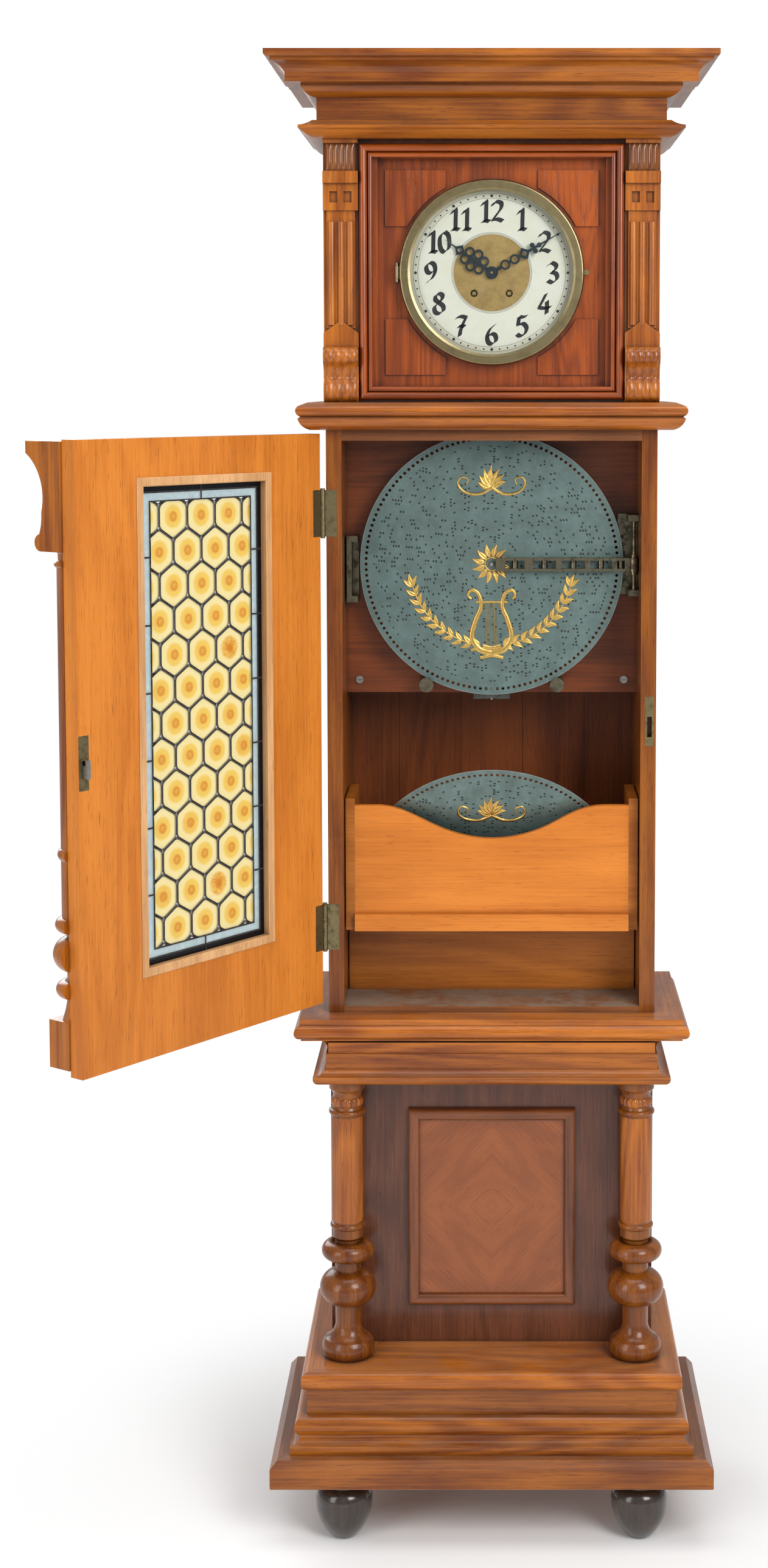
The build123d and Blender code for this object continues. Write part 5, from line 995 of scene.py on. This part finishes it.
class CLOCK_OT_carving(bpy.types.Operator):
    """Carve the reeds of consoles and capitals and the facets of the columns"""
    bl_idname = "clock.carving"
    bl_label = "Carving"

    def execute(self, context):
        woods = context.scene.clock_woods
        light, dark = tuple(woods.case_light), tuple(woods.case_dark)
        carved = wood("walnut_carved", tint(light, 1.05), dark, varnish=0.6, worn=0.3, place=(5, 1, 0))
        shaft_wood = wood("walnut_shaft", tint(light, 1.05), tint(dark, 1.1), varnish=0.5, worn=0.2,
                          place=(6, 1, 0))
        # The capitals under the architrave get a darker copy of the walnut: painted shade.
        shaded_capital_wood = wood("walnut_capital", tint(light, 0.5), tint(dark, 0.6), varnish=0.6, worn=0.15)
        front, hood_bottom, entablature = -0.050, 1.469, 1.800
        pilaster_middle, pilaster_half = 0.19125, 0.02225
        scroll = np.vstack([arc_through((14, 0.4), (20, 14), (15, 30), 14),
                            arc_through((15, 30), (18, 42), (28, 52), 10)[1:],
                            arc_through((28, 52), (30, 61), (22, 69.8), 12)[1:]]) * mm
        reeds, capitals = [], []
        for side in (-1, 1):
            edge = (side * pilaster_middle - pilaster_half + 0.002,
                    side * pilaster_middle + pilaster_half - 0.002)
            out, place, level = reeded(scroll, edge, 4, 0.0018)
            reeds.append(np.stack([place, front - out, hood_bottom + level], axis=-1))
            upright = np.stack([np.full(12, 0.016), np.linspace(-0.0395, -0.0055, 12)], axis=1)
            edge = (side * pilaster_middle - 0.0175, side * pilaster_middle + 0.0175)
            out, place, level = reeded(upright, edge, 5, 0.0022)
            capitals.append(np.stack([place, front - out, entablature + level], axis=-1))
        piece("pilaster_reeds", reeds, carved, "case")
        piece("capital_reeds", capitals, shaded_capital_wood, "case")
        pedestal_bottom, column_x, column_y = 0.220, 0.1885, -0.064
        shafts, caps = [], []
        for side in (-1, 1):
            x, y, z = facets(0.020, pedestal_bottom + 0.182, pedestal_bottom + 0.322)
            shafts.append(np.stack([side * column_x + x, column_y + y, z], axis=-1))
            spin = np.linspace(0, 2 * math.pi, 193)[:-1]
            level = np.array([0.336, 0.338, 0.345, 0.347])
            swell = np.array([0.0, 1.0, 1.0, 0.0])[:, None]
            reach = 0.0189 + swell * 0.0022 * np.abs(np.sin(8 * spin)) ** 0.7
            caps.append(np.stack([side * column_x + reach * np.cos(spin), column_y + reach * np.sin(spin),
                                  np.broadcast_to(pedestal_bottom + level[:, None], reach.shape)], axis=-1))
        piece("column_shafts", shafts, shaft_wood, "case", wrap=True)
        piece("column_caps", caps, carved, "case", wrap=True)
        door_outer, door_top = 0.02025, 1.429
        low, high = door_top - 0.129, door_top - 0.002
        roll, hollow, deep = 0.045, 0.033, 0.058
        console = np.vstack([
            arc_through((roll, low + 0.009), (roll - 0.0024, low + 0.0158), (roll - 0.008, low + 0.020), 8),
            arc_through((roll - 0.008, low + 0.020), (hollow + 0.001, low + 0.030), (hollow, low + 0.045),
                        10)[1:],
            arc_through((hollow, low + 0.045), (hollow + 0.007, high - 0.032), (deep, high - 0.014), 18)[1:]])
        brackets = []
        for place_u in (0.0295, 0.4045):
            out, place, level = reeded(console, (place_u - 0.025, place_u + 0.025), 5, 0.0018)
            brackets.append(on_door(place, door_outer + out, level))
        carved_door = wood("walnut_bracket", tint(light, 1.05), dark, turn=door_turn, varnish=0.6, worn=0.3)
        piece("console_reeds", brackets, carved_door, "door")
        return {"FINISHED"}


def area_light(name, place, target, size, power, colour=(1, 1, 1)):
    """A soft rectangular light that faces a point."""
    data = bpy.data.lights.new(name, "AREA")
    data.shape = "RECTANGLE"
    data.size, data.size_y = size
    data.energy = power
    data.color = colour
    made = bpy.data.objects.new(name, data)
    bpy.context.scene.collection.objects.link(made)
    made.location = place
    made.rotation_euler = (Vector(target) - Vector(place)).to_track_quat("-Z", "Y").to_euler()
    return made


class CLOCK_OT_stage(bpy.types.Operator):
    """Set up the camera, the lights, the white surroundings and the floor"""
    bl_idname = "clock.stage"
    bl_label = "Stage"

    def execute(self, context):
        scene = context.scene
        stage = scene.clock_stage
        data = bpy.data.cameras.new("camera")
        data.lens = 53.52
        data.sensor_fit = "VERTICAL"
        data.sensor_height = 36.0
        data.shift_x = -0.0687
        data.shift_y = -0.1304
        data.clip_end = 60
        camera = bpy.data.objects.new("camera", data)
        scene.collection.objects.link(camera)
        camera.location = (0, -stage.camera_distance, stage.camera_height)
        camera.rotation_euler = (math.pi / 2 - stage.camera_pitch, 0, 0)
        scene.camera = camera
        area_light("key", (1.7, -2.6, 2.6), (0, 0, 1.0), (1.4, 1.8), stage.key_power)
        area_light("fill", (-2.4, -2.4, 1.6), (0, 0, 0.9), (1.2, 2.4), stage.key_power * 0.42)
        area_light("top", (0, -0.6, 3.4), (0, -0.1, 0.5), (2.4, 1.6), stage.key_power * 0.4)
        area_light("back", (-1.6, 2.4, 2.0), (0, 0, 1.0), (1.6, 1.6), stage.key_power * 0.35)
        world = bpy.data.worlds.new("studio")
        world.use_nodes = True
        scene.world = world
        tree = world.node_tree
        tree.nodes.clear()
        out = tree.nodes.new("ShaderNodeOutputWorld")
        path = tree.nodes.new("ShaderNodeLightPath")
        lit = tree.nodes.new("ShaderNodeBackground")
        lit.inputs[1].default_value = stage.sky
        seen = tree.nodes.new("ShaderNodeBackground")
        mixer = tree.nodes.new("ShaderNodeMixShader")
        for background in (lit, seen):
            background.inputs[0].default_value = (1, 1, 1, 1)
        tree.links.new(path.outputs["Is Camera Ray"], mixer.inputs[0])
        tree.links.new(lit.outputs[0], mixer.inputs[1])
        tree.links.new(seen.outputs[0], mixer.inputs[2])
        tree.links.new(mixer.outputs[0], out.inputs[0])
        mesh = bpy.data.meshes.new("studio_floor")
        reach = 14.0
        mesh.from_pydata([(-reach, -reach, 0), (reach, -reach, 0), (reach, reach, 0), (-reach, reach, 0)], [],
                         [(0, 1, 2, 3)])
        s = Shader("floor_white")
        x, y, z = s.parts(s.seat())
        away = s.distance(x, y)
        white = s.node("ShaderNodeBsdfDiffuse", {"Color": (0.93, 0.93, 0.93, 1)}).outputs[0]
        glow = s.node("ShaderNodeEmission", {"Color": (1, 1, 1, 1), "Strength": 1.0}).outputs[0]
        seen = s.node("ShaderNodeLightPath").outputs["Is Camera Ray"]
        faded = s.math("MULTIPLY", s.step(away, 0.3, 0.75), seen)
        mixed = s.node("ShaderNodeMixShader", {0: faded, 1: white, 2: glow}).outputs[0]
        s.tree.links.new(mixed, s.out.inputs[0])
        mesh.materials.append(s.material)
        floor = bpy.data.objects.new("studio_floor", mesh)
        scene.collection.objects.link(floor)
        scene.view_settings.view_transform = "Standard"
        scene.view_settings.look = "None"
        return {"FINISHED"}


class CLOCK_PT_panel(bpy.types.Panel):
    bl_label = "Clock"
    bl_idname = "CLOCK_PT_panel"
    bl_space_type = "VIEW_3D"
    bl_region_type = "UI"
    bl_category = "Clock"

    def draw(self, context):
        for operator in operators:
            self.layout.operator(operator.bl_idname)


operators = (CLOCK_OT_stage, CLOCK_OT_woods, CLOCK_OT_metals, CLOCK_OT_dial, CLOCK_OT_glass, CLOCK_OT_discs,
             CLOCK_OT_carving)
groups = {"clock_woods": ClockWoods, "clock_dial": ClockDial, "clock_glass": ClockGlass,
          "clock_disc": ClockDisc, "clock_stage": ClockStage}


def register():
    for kind in (*groups.values(), *operators, CLOCK_PT_panel):
        bpy.utils.register_class(kind)
    for name, group in groups.items():
        setattr(bpy.types.Scene, name, bpy.props.PointerProperty(type=group))


def unregister():
    for name in groups:
        delattr(bpy.types.Scene, name)
    for kind in (CLOCK_PT_panel, *reversed(operators), *reversed(tuple(groups.values()))):
        bpy.utils.unregister_class(kind)


def main():
    register()
    for operator in operators:
        group, name = operator.bl_idname.split(".")
        getattr(getattr(bpy.ops, group), name)()


if __name__ == "__main__":
    main()
